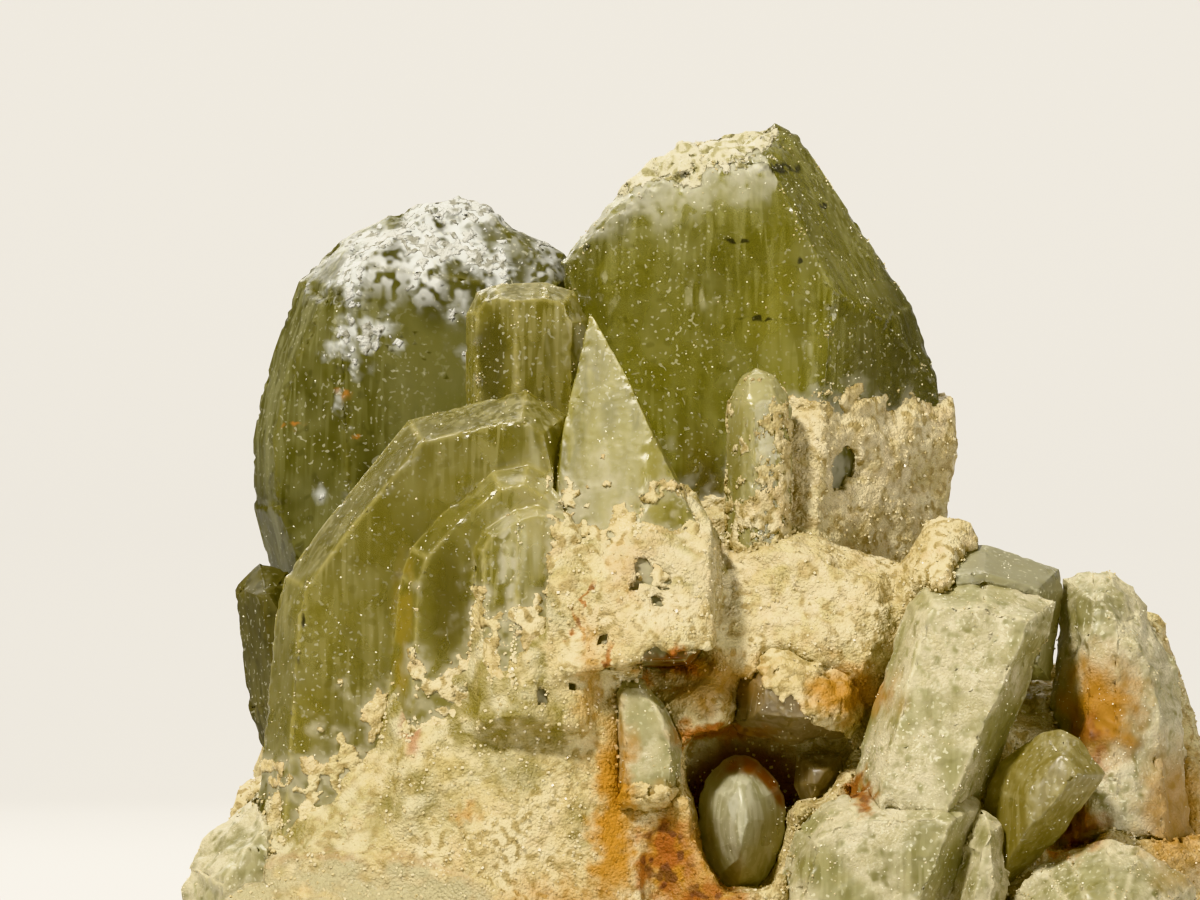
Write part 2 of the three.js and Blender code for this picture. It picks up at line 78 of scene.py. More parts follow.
# Dark rust brown, for the rust mottling in the stain and for painted shade inside the vug
DARK_RUST_AND_SHADE = (0.075, 0.02, 0.004)
LEDGE_GREY = (0.34, 0.30, 0.16)
# Near-black, for small dark spots and dashes on the crystals
NEAR_BLACK = (0.012, 0.011, 0.009)


def cad_copy(node):
    bm = bmesh.new()
    bm.from_mesh(frame["nodes"][node].data)
    bmesh.ops.remove_doubles(bm, verts=bm.verts, dist=1e-6)
    return bm


def make_piece(name, bm, material, nodes=()):
    mesh = bpy.data.meshes.new(name)
    bm.to_mesh(mesh)
    bm.free()
    piece = bpy.data.objects.new(name, mesh)
    bpy.context.scene.collection.objects.link(piece)
    mesh.materials.append(material)
    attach(piece, "root")
    if nodes:
        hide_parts(*nodes)
    return piece


def settle(piece):
    shown = piece.evaluated_get(bpy.context.evaluated_depsgraph_get())
    mesh = bpy.data.meshes.new_from_object(shown)
    piece.modifiers.clear()
    old, piece.data = piece.data, mesh
    bpy.data.meshes.remove(old)


def smoothstep(low, high, value):
    t = min(1.0, max(0.0, (value - low) / (high - low)))
    return t * t * (3 - 2 * t)


def surface_of(pieces):
    points, faces = [], []
    for piece in pieces:
        start = len(points)
        points += [v.co.copy() for v in piece.data.vertices]
        faces += [[start + i for i in face.vertices] for face in piece.data.polygons]
    return BVHTree.FromPolygons(points, faces)


def cut_front_finer(piece, crystals):
    """Halves the mesh of the side that faces forwards, so that it holds the finer grain.

    What faces a crystal close by is hidden behind it, and stays coarse.
    """
    bm = bmesh.new()
    bm.from_mesh(piece.data)
    bm.normal_update()

    def seen(face):
        middle = face.calc_center_median()
        if face.normal.y > -0.15 or middle.z < 4 * MM:
            return False
        near = crystals.find_nearest(middle, HIDDEN_GAP)
        return near[0] is None or (near[0] - middle).normalized().dot(face.normal) < 0.5

    front = [f for f in bm.faces if seen(f)]
    edges = list({e for f in front for e in f.edges})
    bmesh.ops.subdivide_edges(bm, edges=edges, cuts=1, use_grid_fill=True)
    bmesh.ops.triangulate(bm, faces=bm.faces)
    bm.to_mesh(piece.data)
    bm.free()


def roughen(piece, depth_at, sink_at):
    """Moves every point along its normal and straight back, and marks where the sugar is thin.

    The side of the coat that lies against a crystal stays smooth, so that few pits break through it.
    """
    bm = bmesh.new()
    bm.from_mesh(piece.data)
    bm.normal_update()
    thin_mask = bm.verts.layers.float.new("thin")
    moves = []
    for v in bm.verts:
        p = v.co / MM
        v[thin_mask] = smoothstep(2.0, 0.9, sugar_cover(p)) if p.y < -4 else 0.0
        outside = smoothstep(0.6, 0.1, v.normal.y) if p.y < 5 else 1.0
        moves.append((v.normal * outside * depth_at(p) + Vector((0, sink_at(p), 0))) * MM)
    for v, move in zip(bm.verts, moves):
        v.co += move
        v.co.z = max(v.co.z, 0.0)
    bm.to_mesh(piece.data)
    bm.free()


def sugar_edge(p):
    """The height, in millimetres, that the sugar reaches up the crystals at a place."""
    if p.x < -17:
        return 22 + 0.84 * max(0.0, p.x + 41)
    if p.x < 1:
        return 50.5
    return 54 + min(7.0, p.x - 1)


def sugar_cover(p, octaves=3):
    """How fully sugar covers the front at a place: whole at 1 and over, bare at 0.4 and under."""
    slope = 0.08 if p.x < -15 and p.z < 50 else 0.12 if p.x < 1 else 0.2
    patch = noise.fractal(Vector((p.x, 3.0, p.z)) / 3.2, 0.7, 2.1, octaves)
    return 0.5 + slope * (sugar_edge(p) - p.z) + 0.3 * octaves * patch


def coat_loss(p):
    """How far, in millimetres, the coat sinks back into the crystals where the sugar thins out."""
    on_blades = smoothstep(-11, -13, p.x) * smoothstep(-8, -10.5, p.y)
    on_centre = smoothstep(-18, -16, p.x) * smoothstep(3, 1, p.x) * smoothstep(-11, -13, p.y)
    on_tall = smoothstep(-5, -3, p.x) * smoothstep(49, 51, p.z) * smoothstep(15, 12, p.y)
    near_crystals = max(on_blades, on_centre, on_tall) * smoothstep(12, 14, p.z)
    if near_crystals == 0.0:
        return 0.0
    return near_crystals * COAT_SINK * smoothstep(1.4, 0.3, sugar_cover(p, octaves=1))


def sugar_depth(p):
    base = smoothstep(0.2, 2.0, p.z)
    calm = 1 - 0.5 * smoothstep(-5, -12, p.x) * smoothstep(46, 38, p.z)
    cells = noise.voronoi(p / GRAIN_CELL)[0]
    grain = 0.26 * (0.45 - cells[0])
    clumps = 0.26 * noise.fractal(p / CLUMP_SIZE, 0.9, 2.2, 2)
    waves = 0.35 * noise.noise(p / WAVE_SIZE)
    pit = -PIT_DEPTH * smoothstep(0.46, 0.66, noise.noise(p / 2.0 + Vector((9, 4, 2))))
    ledge_top = 16 - 0.014 * (p.x + 37) ** 2 + 0.8 * noise.noise(p / 3)
    at_ledge = p.x < -18 and p.y < -6
    ledge = LEDGE_DEPTH * smoothstep(0.5, -0.4, p.z - ledge_top) if at_ledge else 0.0
    return base * (grain + calm * (clumps + pit) + waves + ledge)


def node_group(name, inputs, outputs):
    tree = bpy.data.node_groups.new(name, "ShaderNodeTree")
    kinds = {"F": "NodeSocketFloat", "V": "NodeSocketVector", "C": "NodeSocketColor"}
    for label, kind in inputs:
        tree.interface.new_socket(label, in_out="INPUT", socket_type=kinds[kind])
    for label, kind in outputs:
        tree.interface.new_socket(label, in_out="OUTPUT", socket_type=kinds[kind])
    ends = tree.nodes.new("NodeGroupInput"), tree.nodes.new("NodeGroupOutput")
    return tree, ends[0].outputs, ends[1].inputs


def add_node(tree, kind, sockets=None, **settings):
    """Adds a node. `sockets` gives values or links by the socket's name or number."""
    made = tree.nodes.new("ShaderNode" + kind)
    for key, value in settings.items():
        setattr(made, key, value)
    for key, value in (sockets or {}).items():
        if isinstance(value, bpy.types.NodeSocket):
            tree.links.new(value, made.inputs[key])
        else:
            made.inputs[key].default_value = value
    return made


def maths(tree, operation, *values):
    made = add_node(tree, "Math", dict(enumerate(values)), operation=operation)
    return made.outputs[0]


def between(tree, value, low, high):
    made = add_node(
        tree,
        "MapRange",
        {"Value": value, "From Min": low, "From Max": high},
        interpolation_type="SMOOTHSTEP",
    )
    return made.outputs["Result"]


def drifting_place(tree, cloud, wander):
    """Object coordinates that wander with a noise, which makes the outline of a patch ragged."""
    place = add_node(tree, "TexCoord").outputs["Object"]
    shift = add_node(tree, "VectorMath", {0: cloud, 1: (0.5, 0.5, 0.5)}, operation="SUBTRACT")
    shift = add_node(
        tree, "VectorMath", {0: shift.outputs[0], "Scale": wander}, operation="SCALE"
    )
    moved = add_node(tree, "VectorMath", {0: place, 1: shift.outputs[0]}, operation="ADD")
    return moved.outputs[0]


def patch_mask(tree, place, centre, reach, inner):
    local = add_node(tree, "VectorMath", {0: place, 1: centre}, operation="SUBTRACT")
    local = add_node(tree, "VectorMath", {0: local.outputs[0], 1: reach}, operation="DIVIDE")
    distance = add_node(tree, "VectorMath", {0: local.outputs[0]}, operation="LENGTH")
    return between(tree, distance.outputs["Value"], 1.0, inner)


# A soft-edged patch round a place, with a wandering outline
blotch_group, given, result = node_group(
    "blotch",
    [("Cloud", "V"), ("Centre", "V"), ("Reach", "V"), ("Wander", "F"), ("Soft", "F")],
    [("Mask", "F")],
)
tree = blotch_group
drifting = drifting_place(tree, given["Cloud"], given["Wander"])
inner = maths(tree, "SUBTRACT", 1.0, given["Soft"])
mask = patch_mask(tree, drifting, given["Centre"], given["Reach"], inner)
tree.links.new(mask, result["Mask"])

# Flecks, which are a noise cut at a level
fleck_group, given, result = node_group(
    "flecks",
    [(n, "F") for n in ("Scale", "Detail", "Cut", "Soft")] + [("Stretch", "V"), ("Turn", "V")],
    [("Mask", "F")],
)
tree = fleck_group
place = add_node(tree, "TexCoord").outputs["Object"]
turned = add_node(
    tree, "Mapping", {"Vector": place, "Rotation": given["Turn"], "Scale": given["Stretch"]}
)
cloud = add_node(
    tree,
    "TexNoise",
    {"Vector": turned.outputs[0], "Scale": given["Scale"], "Roughness": 0.6},
)
tree.links.new(given["Detail"], cloud.inputs["Detail"])
top = maths(tree, "ADD", given["Cut"], given["Soft"])
mask = between(tree, cloud.outputs["Fac"], given["Cut"], top)
tree.links.new(mask, result["Mask"])

# The grains of the sugar: their height, and a value that differs from grain to grain
sugar_group, given, result = node_group(
    "sugar", [("Scale", "F")], [("Height", "F"), ("Tone", "F")]
)
tree = sugar_group
place = add_node(tree, "TexCoord").outputs["Object"]
cells = add_node(tree, "TexVoronoi", {"Vector": place, "Scale": given["Scale"]})
fine = add_node(
    tree,
    "TexNoise",
    {"Vector": place, "Scale": maths(tree, "MULTIPLY", given["Scale"], 1.9), "Detail": 2.0},
)
height = maths(tree, "MULTIPLY_ADD", cells.outputs["Distance"], -0.9, fine.outputs["Fac"])
tree.links.new(height, result["Height"])
tree.links.new(
    add_node(tree, "SeparateColor", {0: cells.outputs["Color"]}).outputs[0],
    result["Tone"],
)

clouds = {}


def drift(tree, scale):
    """The noise by which a material's patches wander, made once for each scale."""
    key = (tree.as_pointer(), scale)
    if key not in clouds:
        place = add_node(tree, "TexCoord").outputs["Object"]
        cloud = add_node(tree, "TexNoise", {"Vector": place, "Scale": scale, "Detail": 3.0})
        clouds[key] = cloud.outputs["Color"]
    return clouds[key]


# Places of the iron stain on the front, as x, z, half-width, half-height and strength
OCHRE_STAINS = [
    (-10.4, 20, 3.0, 15, 1.0),
    (-12.8, 34, 2.2, 9, 0.5),
    (-15, 11, 9, 4, 0.55),
    (-9, 44, 2, 5, 0.3),
    (13, 32.0, 6, 4.2, 0.9),
    (38, 30.5, 6.0, 7.5, 1.0),
    (46, 20, 6, 10, 0.7),
    (-25.5, 20, 2, 1.4, 0.6),
    (0, 33, 7, 4, 0.6),
    (-3, 15, 7, 9, 0.75),
]
RUST_STAINS = [
    (-5.4, 15.5, 4.6, 6.5, 1.0),
    (-1.5, 10.5, 7, 4, 0.9),
    (0.5, 27.8, 6.5, 1.6, 0.9),
    (-4, 34.6, 4.6, 2.2, 1.0),
    (34.5, 18.5, 5, 3.4, 1.0),
    (36.5, 27, 3.2, 4.0, 0.7),
    (14.2, 22.0, 2.0, 2.2, 0.8),
    (-14, 38, 0.7, 3.0, 0.7),
    (-11, 36, 0.7, 2.0, 0.7),
    (-12.5, 41.5, 0.4, 1.6, 0.6),
]
iron_group, given, result = node_group("iron_stain", [], [("Ochre", "F"), ("Rust", "F")])
tree = iron_group
drifting = drifting_place(tree, drift(tree, 420), 6 * MM)
for label, places in (("Ochre", OCHRE_STAINS), ("Rust", RUST_STAINS)):
    most = 0.0
    for x, z, wide, high, strength in places:
        centre, reach = Vector((x, -15, z)) * MM, Vector((wide, 40, high)) * MM
        mask = patch_mask(tree, drifting, centre, reach, 0.25)
        most = maths(tree, "MAXIMUM", most, maths(tree, "MULTIPLY", mask, strength))
    tree.links.new(most, result[label])


def blotch(tree, x, z, wide, high, y=-15.0, deep=40.0, wander=5.0, scale=380.0, soft=0.5):
    """The mask of a patch. Places and sizes are in millimetres."""
    made = tree.nodes.new("ShaderNodeGroup")
    made.node_tree = blotch_group
    made.inputs["Centre"].default_value = Vector((x, y, z)) * MM
    made.inputs["Reach"].default_value = Vector((wide, deep, high)) * MM
    made.inputs["Wander"].default_value = wander * MM
    made.inputs["Soft"].default_value = soft
    tree.links.new(drift(tree, scale), made.inputs["Cloud"])
    return made.outputs["Mask"]


def flecks(tree, size, cut, soft=0.05, stretch=(1, 1, 1), turn=(0, 0, 0)):
    """The mask of flecks about `size` millimetres across. Small ones need fewer octaves."""
    made = tree.nodes.new("ShaderNodeGroup")
    made.node_tree = fleck_group
    made.inputs["Scale"].default_value = 1000 / (2.4 * size)
    made.inputs["Detail"].default_value = 0.0 if size < 0.5 else 1.0 if size < 2 else 2.0
    made.inputs["Cut"].default_value = cut
    made.inputs["Soft"].default_value = soft
    made.inputs["Stretch"].default_value = stretch
    made.inputs["Turn"].default_value = turn
    return made.outputs["Mask"]


def paint(tree, under, over, mask):
    """Lays a colour or a value over another where the mask is."""
    colour = isinstance(over, tuple) or getattr(over, "type", "") == "RGBA"
    made = tree.nodes.new("ShaderNodeMix")
    made.data_type = "RGBA" if colour else "FLOAT"
    slots = (6, 7, 2) if colour else (2, 3, 0)
    made.inputs[0].default_value = 1.0
    for slot, value in ((slots[0], under), (slots[1], over), (0, mask)):
        if isinstance(value, tuple):
            value = (*value, 1.0)
        if isinstance(value, bpy.types.NodeSocket):
            tree.links.new(value, made.inputs[slot])
        else:
            made.inputs[slot].default_value = value
    return made.outputs[slots[2]]


def times(tree, *masks):
    made = masks[0]
    for mask in masks[1:]:
        made = maths(tree, "MULTIPLY", made, mask)
    return made


def stained(tree, colour, rough):
    """Iron stain over a colour and its gloss, the same on the matrix and on the crystals."""
    iron = add_node(tree, "Group", {}, node_tree=iron_group)
    rusty = iron.outputs["Rust"]
    yellow = maths(tree, "MAXIMUM", iron.outputs["Ochre"], rusty)
    colour = paint(tree, colour, OCHRE, times(tree, yellow, flecks(tree, 1.6, 0.12, 0.22)))
    colour = paint(tree, colour, RUST, times(tree, rusty, flecks(tree, 1.0, 0.32, 0.22)))
    dark = times(tree, rusty, flecks(tree, 0.6, 0.54, 0.12), 0.8)
    return paint(tree, colour, DARK_RUST_AND_SHADE, dark), paint(tree, rough, 0.7, yellow)


def new_material(name):
    material = bpy.data.materials.new(name)
    material.use_nodes = True
    tree = material.node_tree
    return material, tree, tree.nodes["Principled BSDF"]


def bump(tree, shader, height, distance, strength=1.0):
    made = add_node(
        tree, "Bump", {"Height": height, "Distance": distance * MM, "Strength": strength}
    )
    tree.links.new(made.outputs[0], shader.inputs["Normal"])


def sugar_colour(tree, cream=CREAM, pale=PALE_SUGAR, gap=GRAIN_GAP, tinted=True):
    """Pale grains over darker gaps, the same on the matrix and where sugar lies on the crystals."""
    grains = add_node(tree, "Group", {}, node_tree=sugar_group)
    grains.inputs["Scale"].default_value = 3000
    colour = paint(tree, cream, pale, flecks(tree, 1.8, 0.36, 0.3))
    if tinted:
        green = times(tree, flecks(tree, 3.4, 0.42, 0.3), 0.6)
        colour = paint(tree, colour, GREENISH_SUGAR, green)
        colour = paint(tree, colour, TAN, times(tree, flecks(tree, 1.1, 0.52, 0.18), 0.45))
    colour = paint(tree, colour, pale, times(tree, grains.outputs["Tone"], 0.3))
    colour = paint(tree, gap, colour, flecks(tree, 0.34, 0.30, 0.25))
    return colour, grains.outputs["Height"]


sugar_rock, tree, shader = new_material("sugar_rock")
colour, grain_height = sugar_colour(tree)
low_left = blotch(tree, -25, 27, 16, 13, wander=8, scale=180, soft=0.8)
colour = paint(tree, colour, (0.33, 0.26, 0.08), times(tree, low_left, 0.45))
white_flecks = times(tree, low_left, flecks(tree, 1.1, 0.44, 0.2))
colour = paint(tree, colour, (0.55, 0.48, 0.29), times(tree, white_flecks, 0.7))
olive_spots = times(tree, low_left, flecks(tree, 3.6, 0.42, 0.2), flecks(tree, 0.8, 0.24, 0.35))
colour = paint(tree, colour, WINDOW_OLIVE, times(tree, olive_spots, 0.9))
for x, z, wide, high in (
    (-16, 29.5, 1.6, 4.5),
    (-22.5, 30.5, 5, 4),
    (-20, 24, 4, 3.5),
    (-29, 22, 4, 4),
    (-13.5, 19, 2.5, 4),
):
    window = blotch(tree, x, z, wide, high, wander=3, soft=0.8)
    window = times(tree, window, flecks(tree, 0.8, 0.24, 0.35))
    colour = paint(tree, colour, WINDOW_OLIVE, times(tree, window, 0.85))
thin = add_node(tree, "Attribute", attribute_name="thin").outputs["Fac"]
clear_spots = times(tree, thin, flecks(tree, 2.8, 0.36, 0.25), flecks(tree, 0.6, 0.16, 0.4))
colour = paint(tree, colour, (0.19, 0.155, 0.034), times(tree, clear_spots, 0.95))
white_spots = times(tree, thin, flecks(tree, 1.2, 0.46, 0.2), 0.6)
colour = paint(tree, colour, (0.57, 0.51, 0.33), white_spots)
for high, shade, strength in ((6.1, (0.30, 0.20, 0.09), 0.6), (5.2, LEDGE_GREY, 0.9)):
    ledge = blotch(tree, -37, 10.6, 16, high, wander=2.5, soft=0.12)
    colour = paint(tree, colour, shade, times(tree, ledge, flecks(tree, 0.9, 0.26, 0.3), strength))
fold = blotch(tree, -30.5, 28.5, 1.1, 3.4, wander=2.5, soft=0.6)
colour = paint(tree, colour, (0.30, 0.13, 0.06), times(tree, fold, 0.7))
for x, z, wide, high in ((15, 54, 13, 9), (-5, 44, 9, 9), (8, 42, 10, 7)):
    whiter = blotch(tree, x, z, wide, high, y=-10, wander=6, scale=180, soft=0.7)
    whiter = times(tree, whiter, flecks(tree, 0.8, 0.38, 0.2), 0.6)
    colour = paint(tree, colour, (0.59, 0.51, 0.33), whiter)
rough = paint(tree, 0.62, 0.3, flecks(tree, 0.4, 0.56, 0.06))
colour, rough = stained(tree, colour, rough)
# Painted shade inside the vug, in dark rust brown
vug_shade = blotch(tree, 2.6, 20, 9, 9, y=-5.5, deep=5.0, wander=2.0, soft=0.4)
colour = paint(tree, colour, DARK_RUST_AND_SHADE, vug_shade)
tree.links.new(colour, shader.inputs["Base Color"])
tree.links.new(rough, shader.inputs["Roughness"])
bump(tree, shader, grain_height, 0.16)

rock = make_piece("matrix_rock", cad_copy("matrix"), sugar_rock, ["matrix"])
remesh = rock.modifiers.new("rock_step", "REMESH")
remesh.mode = "VOXEL"
remesh.voxel_size = ROCK_STEP
settle(rock)
cut_front_finer(rock, surface_of([frame["nodes"][n] for n in frame["nodes"] if n != "matrix"]))
roughen(rock, sugar_depth, coat_loss)
rock.data.shade_smooth()

# The tall crystal
# The largest brazilianite crystal: clear olive-yellow with silky growth lines, a broken top that a
# cream crust fills, and painted shade on its side face. It is rooted in the matrix.
OLIVE = (0.165, 0.150, 0.026)
DARK_OLIVE = (0.085, 0.076, 0.009)
PALE_OLIVE = (0.34, 0.32, 0.12)
CRUST_WHITE = (0.55, 0.51, 0.38)
GEM_IOR = 1.61
EDGE_WIDTH = 0.1
EDGE_STEP = 0.55


def faceted(node, width=EDGE_WIDTH, step=0.9):
    """A copy of a crystal with narrow bevels on its edges and faces fine enough to be worn."""
    bm = cad_copy(node)
    bmesh.ops.remove_doubles(bm, verts=bm.verts, dist=0.12 * MM)
    bmesh.ops.dissolve_limit(
        bm, angle_limit=math.radians(1.5), verts=bm.verts, edges=bm.edges
    )
    edges = [e for e in bm.edges if e.calc_face_angle(0) > math.radians(10)]
    corners = kdtree.KDTree(sum(2 + int(2 * e.calc_length() / MM) for e in edges))
    for e in edges:
        a, b = (v.co.copy() for v in e.verts)
        parts = 1 + int(2 * e.calc_length() / MM)
        for i in range(parts + 1):
            corners.insert(a.lerp(b, i / parts), 0)
    corners.balance()
    bmesh.ops.bevel(
        bm,
        geom=edges,
        offset=width * MM,
        offset_type="OFFSET",
        segments=2,
        profile=0.5,
        affect="EDGES",
        material=-1,
        clamp_overlap=True,
    )

    def too_long(e):
        length = e.calc_length() / MM
        if length <= EDGE_STEP or length > step:
            return length > step
        middle = (e.verts[0].co + e.verts[1].co) / 2
        return corners.find(middle)[2] < 1.1 * MM

    bmesh.ops.triangulate(bm, faces=bm.faces)
    for _ in range(8):
        long = [e for e in bm.edges if too_long(e)]
        if not long:
            break
        bmesh.ops.subdivide_edges(bm, edges=long, cuts=1)
        bmesh.ops.triangulate(bm, faces=bm.faces)
    return bm, corners


def front_sugar(p):
    """The sugar on a crystal's front, which thins out above the edge of the coat."""
    cover = sugar_cover(p)
    shown = smoothstep(0.42, 0.72, cover) * smoothstep(1.5, 1.2, cover)
    return shown if p.y < 8 and p.z > 12 else 0.0


def coat_dust(p):
    """The dust of sugar on a crystal's front, which thins out far above the edge of the coat."""
    return 0.85 * smoothstep(0.0, 0.75, sugar_cover(p)) if p.y < 8 else 0.0


def worn(piece, corners, chips=0.16, broken=None, dusty=None):
    """Chipped edges and a broken surface, with masks of the edges, for painted highlights, and of the
    dust for the paint.

    `broken` and `dusty` take a point in millimetres and give 0 to 1.
    """
    bm = bmesh.new()
    bm.from_mesh(piece.data)
    bm.normal_update()
    edge_highlight_mask = bm.verts.layers.float.new("edge")
    dust_mask = bm.verts.layers.float.new("dust")
    moves = []
    for v in bm.verts:
        p = v.co / MM
        away = corners.find(v.co)[2] / MM
        fine = smoothstep(0.05, 0.35, noise.noise(p / 0.9))
        bite = smoothstep(0.30, 0.44, noise.noise(p / 2.6))
        depth = -chips * smoothstep(0.8, 0.1, away) * fine
        depth -= 1.6 * chips * smoothstep(1.1, 0.2, away) * bite
        if broken:
            rough = 0.8 * noise.fractal(p / 2.2, 0.7, 2.2, 2) + 0.9 * noise.noise(p / 5)
            depth += broken(p) * (rough - 0.25)
        v[edge_highlight_mask] = smoothstep(0.55, 0.1, away)
        if dusty:
            v[dust_mask] = dusty(p)
        moves.append(v.normal * depth * MM)
    for v, move in zip(bm.verts, moves):
        v.co += move
        v.co.z = max(v.co.z, 0.0)
    bm.to_mesh(piece.data)
    bm.free()
    piece.data.shade_smooth()
    piece.data.set_sharp_from_angle(angle=math.radians(24))


crusted = []
CRUST_STEP = 0.36
CRUST_FOOT = 0.05
CRUST_LEAST = 0.08


def crust(name, carrier, cover, thick, material, ragged=0.3):
    """A thin closed crust over the part of a crystal where `cover` is over a half."""
    bm = bmesh.new()
    bm.from_mesh(carrier.data)
    clear = [f for f in bm.faces if cover(f.calc_center_median() / MM) < 0.12]
    bmesh.ops.delete(bm, geom=clear, context="FACES")
    for _ in range(3):
        long = [e for e in bm.edges if e.calc_length() > CRUST_STEP * MM]
        bmesh.ops.subdivide_edges(bm, edges=long, cuts=1)
        bmesh.ops.triangulate(bm, faces=bm.faces)

    def bare(face):
        p = face.calc_center_median() / MM
        wander = noise.noise(p / 0.6) + 0.8 * noise.noise(p / 1.3)
        return cover(p) + ragged * wander < 0.5

    bmesh.ops.delete(bm, geom=[f for f in bm.faces if bare(f)], context="FACES")
    bm.normal_update()
    rise = bm.verts.layers.float_vector.new("rise")
    for v in bm.verts:
        p = v.co / MM
        swell = smoothstep(0.4, 0.9, cover(p)) * (0.7 + 1.2 * noise.noise(p / 1.1))
        height = 0.1 + thick * (max(0.0, swell) + 0.4 * noise.noise(p / 0.6))
        v[rise] = v.normal * max(CRUST_LEAST, height) * MM
        v.co -= v.normal * CRUST_FOOT * MM
    made = bmesh.ops.extrude_face_region(bm, geom=bm.faces[:], use_keep_orig=True)
    for raised in made["geom"]:
        if isinstance(raised, bmesh.types.BMVert):
            raised.co += raised[rise]
    bmesh.ops.recalc_face_normals(bm, faces=bm.faces)
    piece = make_piece(name, bm, material)
    piece.data.shade_smooth()
    crusted.append((carrier, cover))
    return piece


def crust_material(name, cream, pale, gap=GRAIN_GAP, iron=True):
    material, tree, shader = new_material(name)
    colour, grain_height = sugar_colour(tree, cream, pale, gap, tinted=iron)
    rough = paint(tree, 0.6, 0.3, flecks(tree, 0.4, 0.56, 0.06))
    if iron:
        colour, rough = stained(tree, colour, rough)
    tree.links.new(colour, shader.inputs["Base Color"])
    tree.links.new(rough, shader.inputs["Roughness"])
    bump(tree, shader, grain_height, 0.12)
    return material


def crystal_material(name, body, dark, pale, transmission=0.55, density=130.0, shine=0.35):
    """Clear crystal: zones, silky threads and veils, and the colour that a depth absorbs."""
    material, tree, shader = new_material(name)
    shader.inputs["Transmission Weight"].default_value = transmission
    shader.inputs["IOR"].default_value = GEM_IOR
    shader.inputs["Specular IOR Level"].default_value = shine
    absorb = add_node(tree, "VolumeAbsorption")
    absorb.inputs["Color"].default_value = (0.82, 0.81, 0.36, 1.0)
    absorb.inputs["Density"].default_value = density
    output = next(n for n in tree.nodes if n.type == "OUTPUT_MATERIAL")
    tree.links.new(absorb.outputs[0], output.inputs["Volume"])
    colour = paint(tree, body, dark, times(tree, flecks(tree, 9.0, 0.32, 0.4), 0.75))
    cloud = times(tree, flecks(tree, 5.5, 0.32, 0.4), flecks(tree, 1.1, 0.22, 0.55))
    colour = paint(tree, colour, pale, times(tree, cloud, 0.6))
    bundles = flecks(tree, 5.0, 0.36, 0.3, stretch=(1, 1, 0.5))
    threads = flecks(tree, 0.6, 0.46, 0.2, stretch=(1, 1, 0.09), turn=(0.03, 0.08, 0))
    colour = paint(tree, colour, pale, times(tree, threads, bundles, 0.7))
    hairs = flecks(tree, 0.2, 0.5, 0.14, stretch=(1, 1, 0.08), turn=(0, -0.14, 0))
    colour = paint(tree, colour, pale, times(tree, hairs, bundles, 0.65))
    crumbs = flecks(tree, 0.45, 0.62, 0.14)
    colour = paint(tree, colour, dark, times(tree, crumbs, 0.4))
    return material, tree, shader, colour


def finish_crystal(
    tree,
    shader,
    colour,
    gloss,
    edges=PALE_OLIVE,
    glow=0.6,
    iron=False,
    speck=0.7,
    grains=None,
    powder=(0.66, 0.60, 0.38),
):
    """Lays on painted highlights along the edges, painted glints among white specks, and the dust of
    sugar, and joins up the whole.
    """
    # Painted highlights along the edges, in the colour given as edges
    edge = add_node(tree, "Attribute", attribute_name="edge").outputs["Fac"]
    colour = paint(tree, colour, edges, times(tree, edge, flecks(tree, 3, 0.3, 0.3), glow))
    # Painted glints: pale specks, which also stand for white sugar grains, gathered in patches
    dusty = flecks(tree, 5.0, 0.38, 0.25)
    glint_specks = times(tree, flecks(tree, 0.16, 0.68, 0.06), paint(tree, 0.15, 0.9, dusty))
    colour = paint(tree, colour, (0.68, 0.65, 0.45), times(tree, glint_specks, speck))
    cloudy = paint(tree, gloss, gloss + 0.18, flecks(tree, 2.2, 0.28, 0.45))
    dust = add_node(tree, "Attribute", attribute_name="dust").outputs["Fac"]
    dust = times(tree, dust, flecks(tree, 0.55, 0.26, 0.3))
    colour = paint(tree, colour, powder, dust)
    cloudy = paint(tree, cloudy, 0.6, dust)
    if iron:
        colour, cloudy = stained(tree, colour, cloudy)
    tree.links.new(colour, shader.inputs["Base Color"])
    tree.links.new(cloudy, shader.inputs["Roughness"])
    lines = flecks(tree, 0.4, 0.3, 0.5, stretch=(1, 1, 0.05))
    crumbs = flecks(tree, 0.3, 0.3, 0.5)
    relief = maths(tree, "MULTIPLY_ADD", crumbs, 0.15, times(tree, lines, 0.3))
    if grains:
        relief = maths(tree, "MULTIPLY_ADD", grains, 1.6, relief)
    bump(tree, shader, relief, 0.06)


cream_crust = crust_material("cream_crust", CREAM, PALE_SUGAR)
top_crust = crust_material(
    "top_crust", (0.41, 0.37, 0.23), CRUST_WHITE, gap=(0.26, 0.23, 0.10), iron=False
)
tall_gem, tree, shader, colour = crystal_material("tall_crystal", OLIVE, DARK_OLIVE, PALE_OLIVE)
light_band = blotch(tree, 6.5, 66, 4.5, 17, y=0, wander=8, scale=180, soft=0.9)
colour = paint(tree, colour, (0.28, 0.25, 0.045), times(tree, light_band, 0.5))
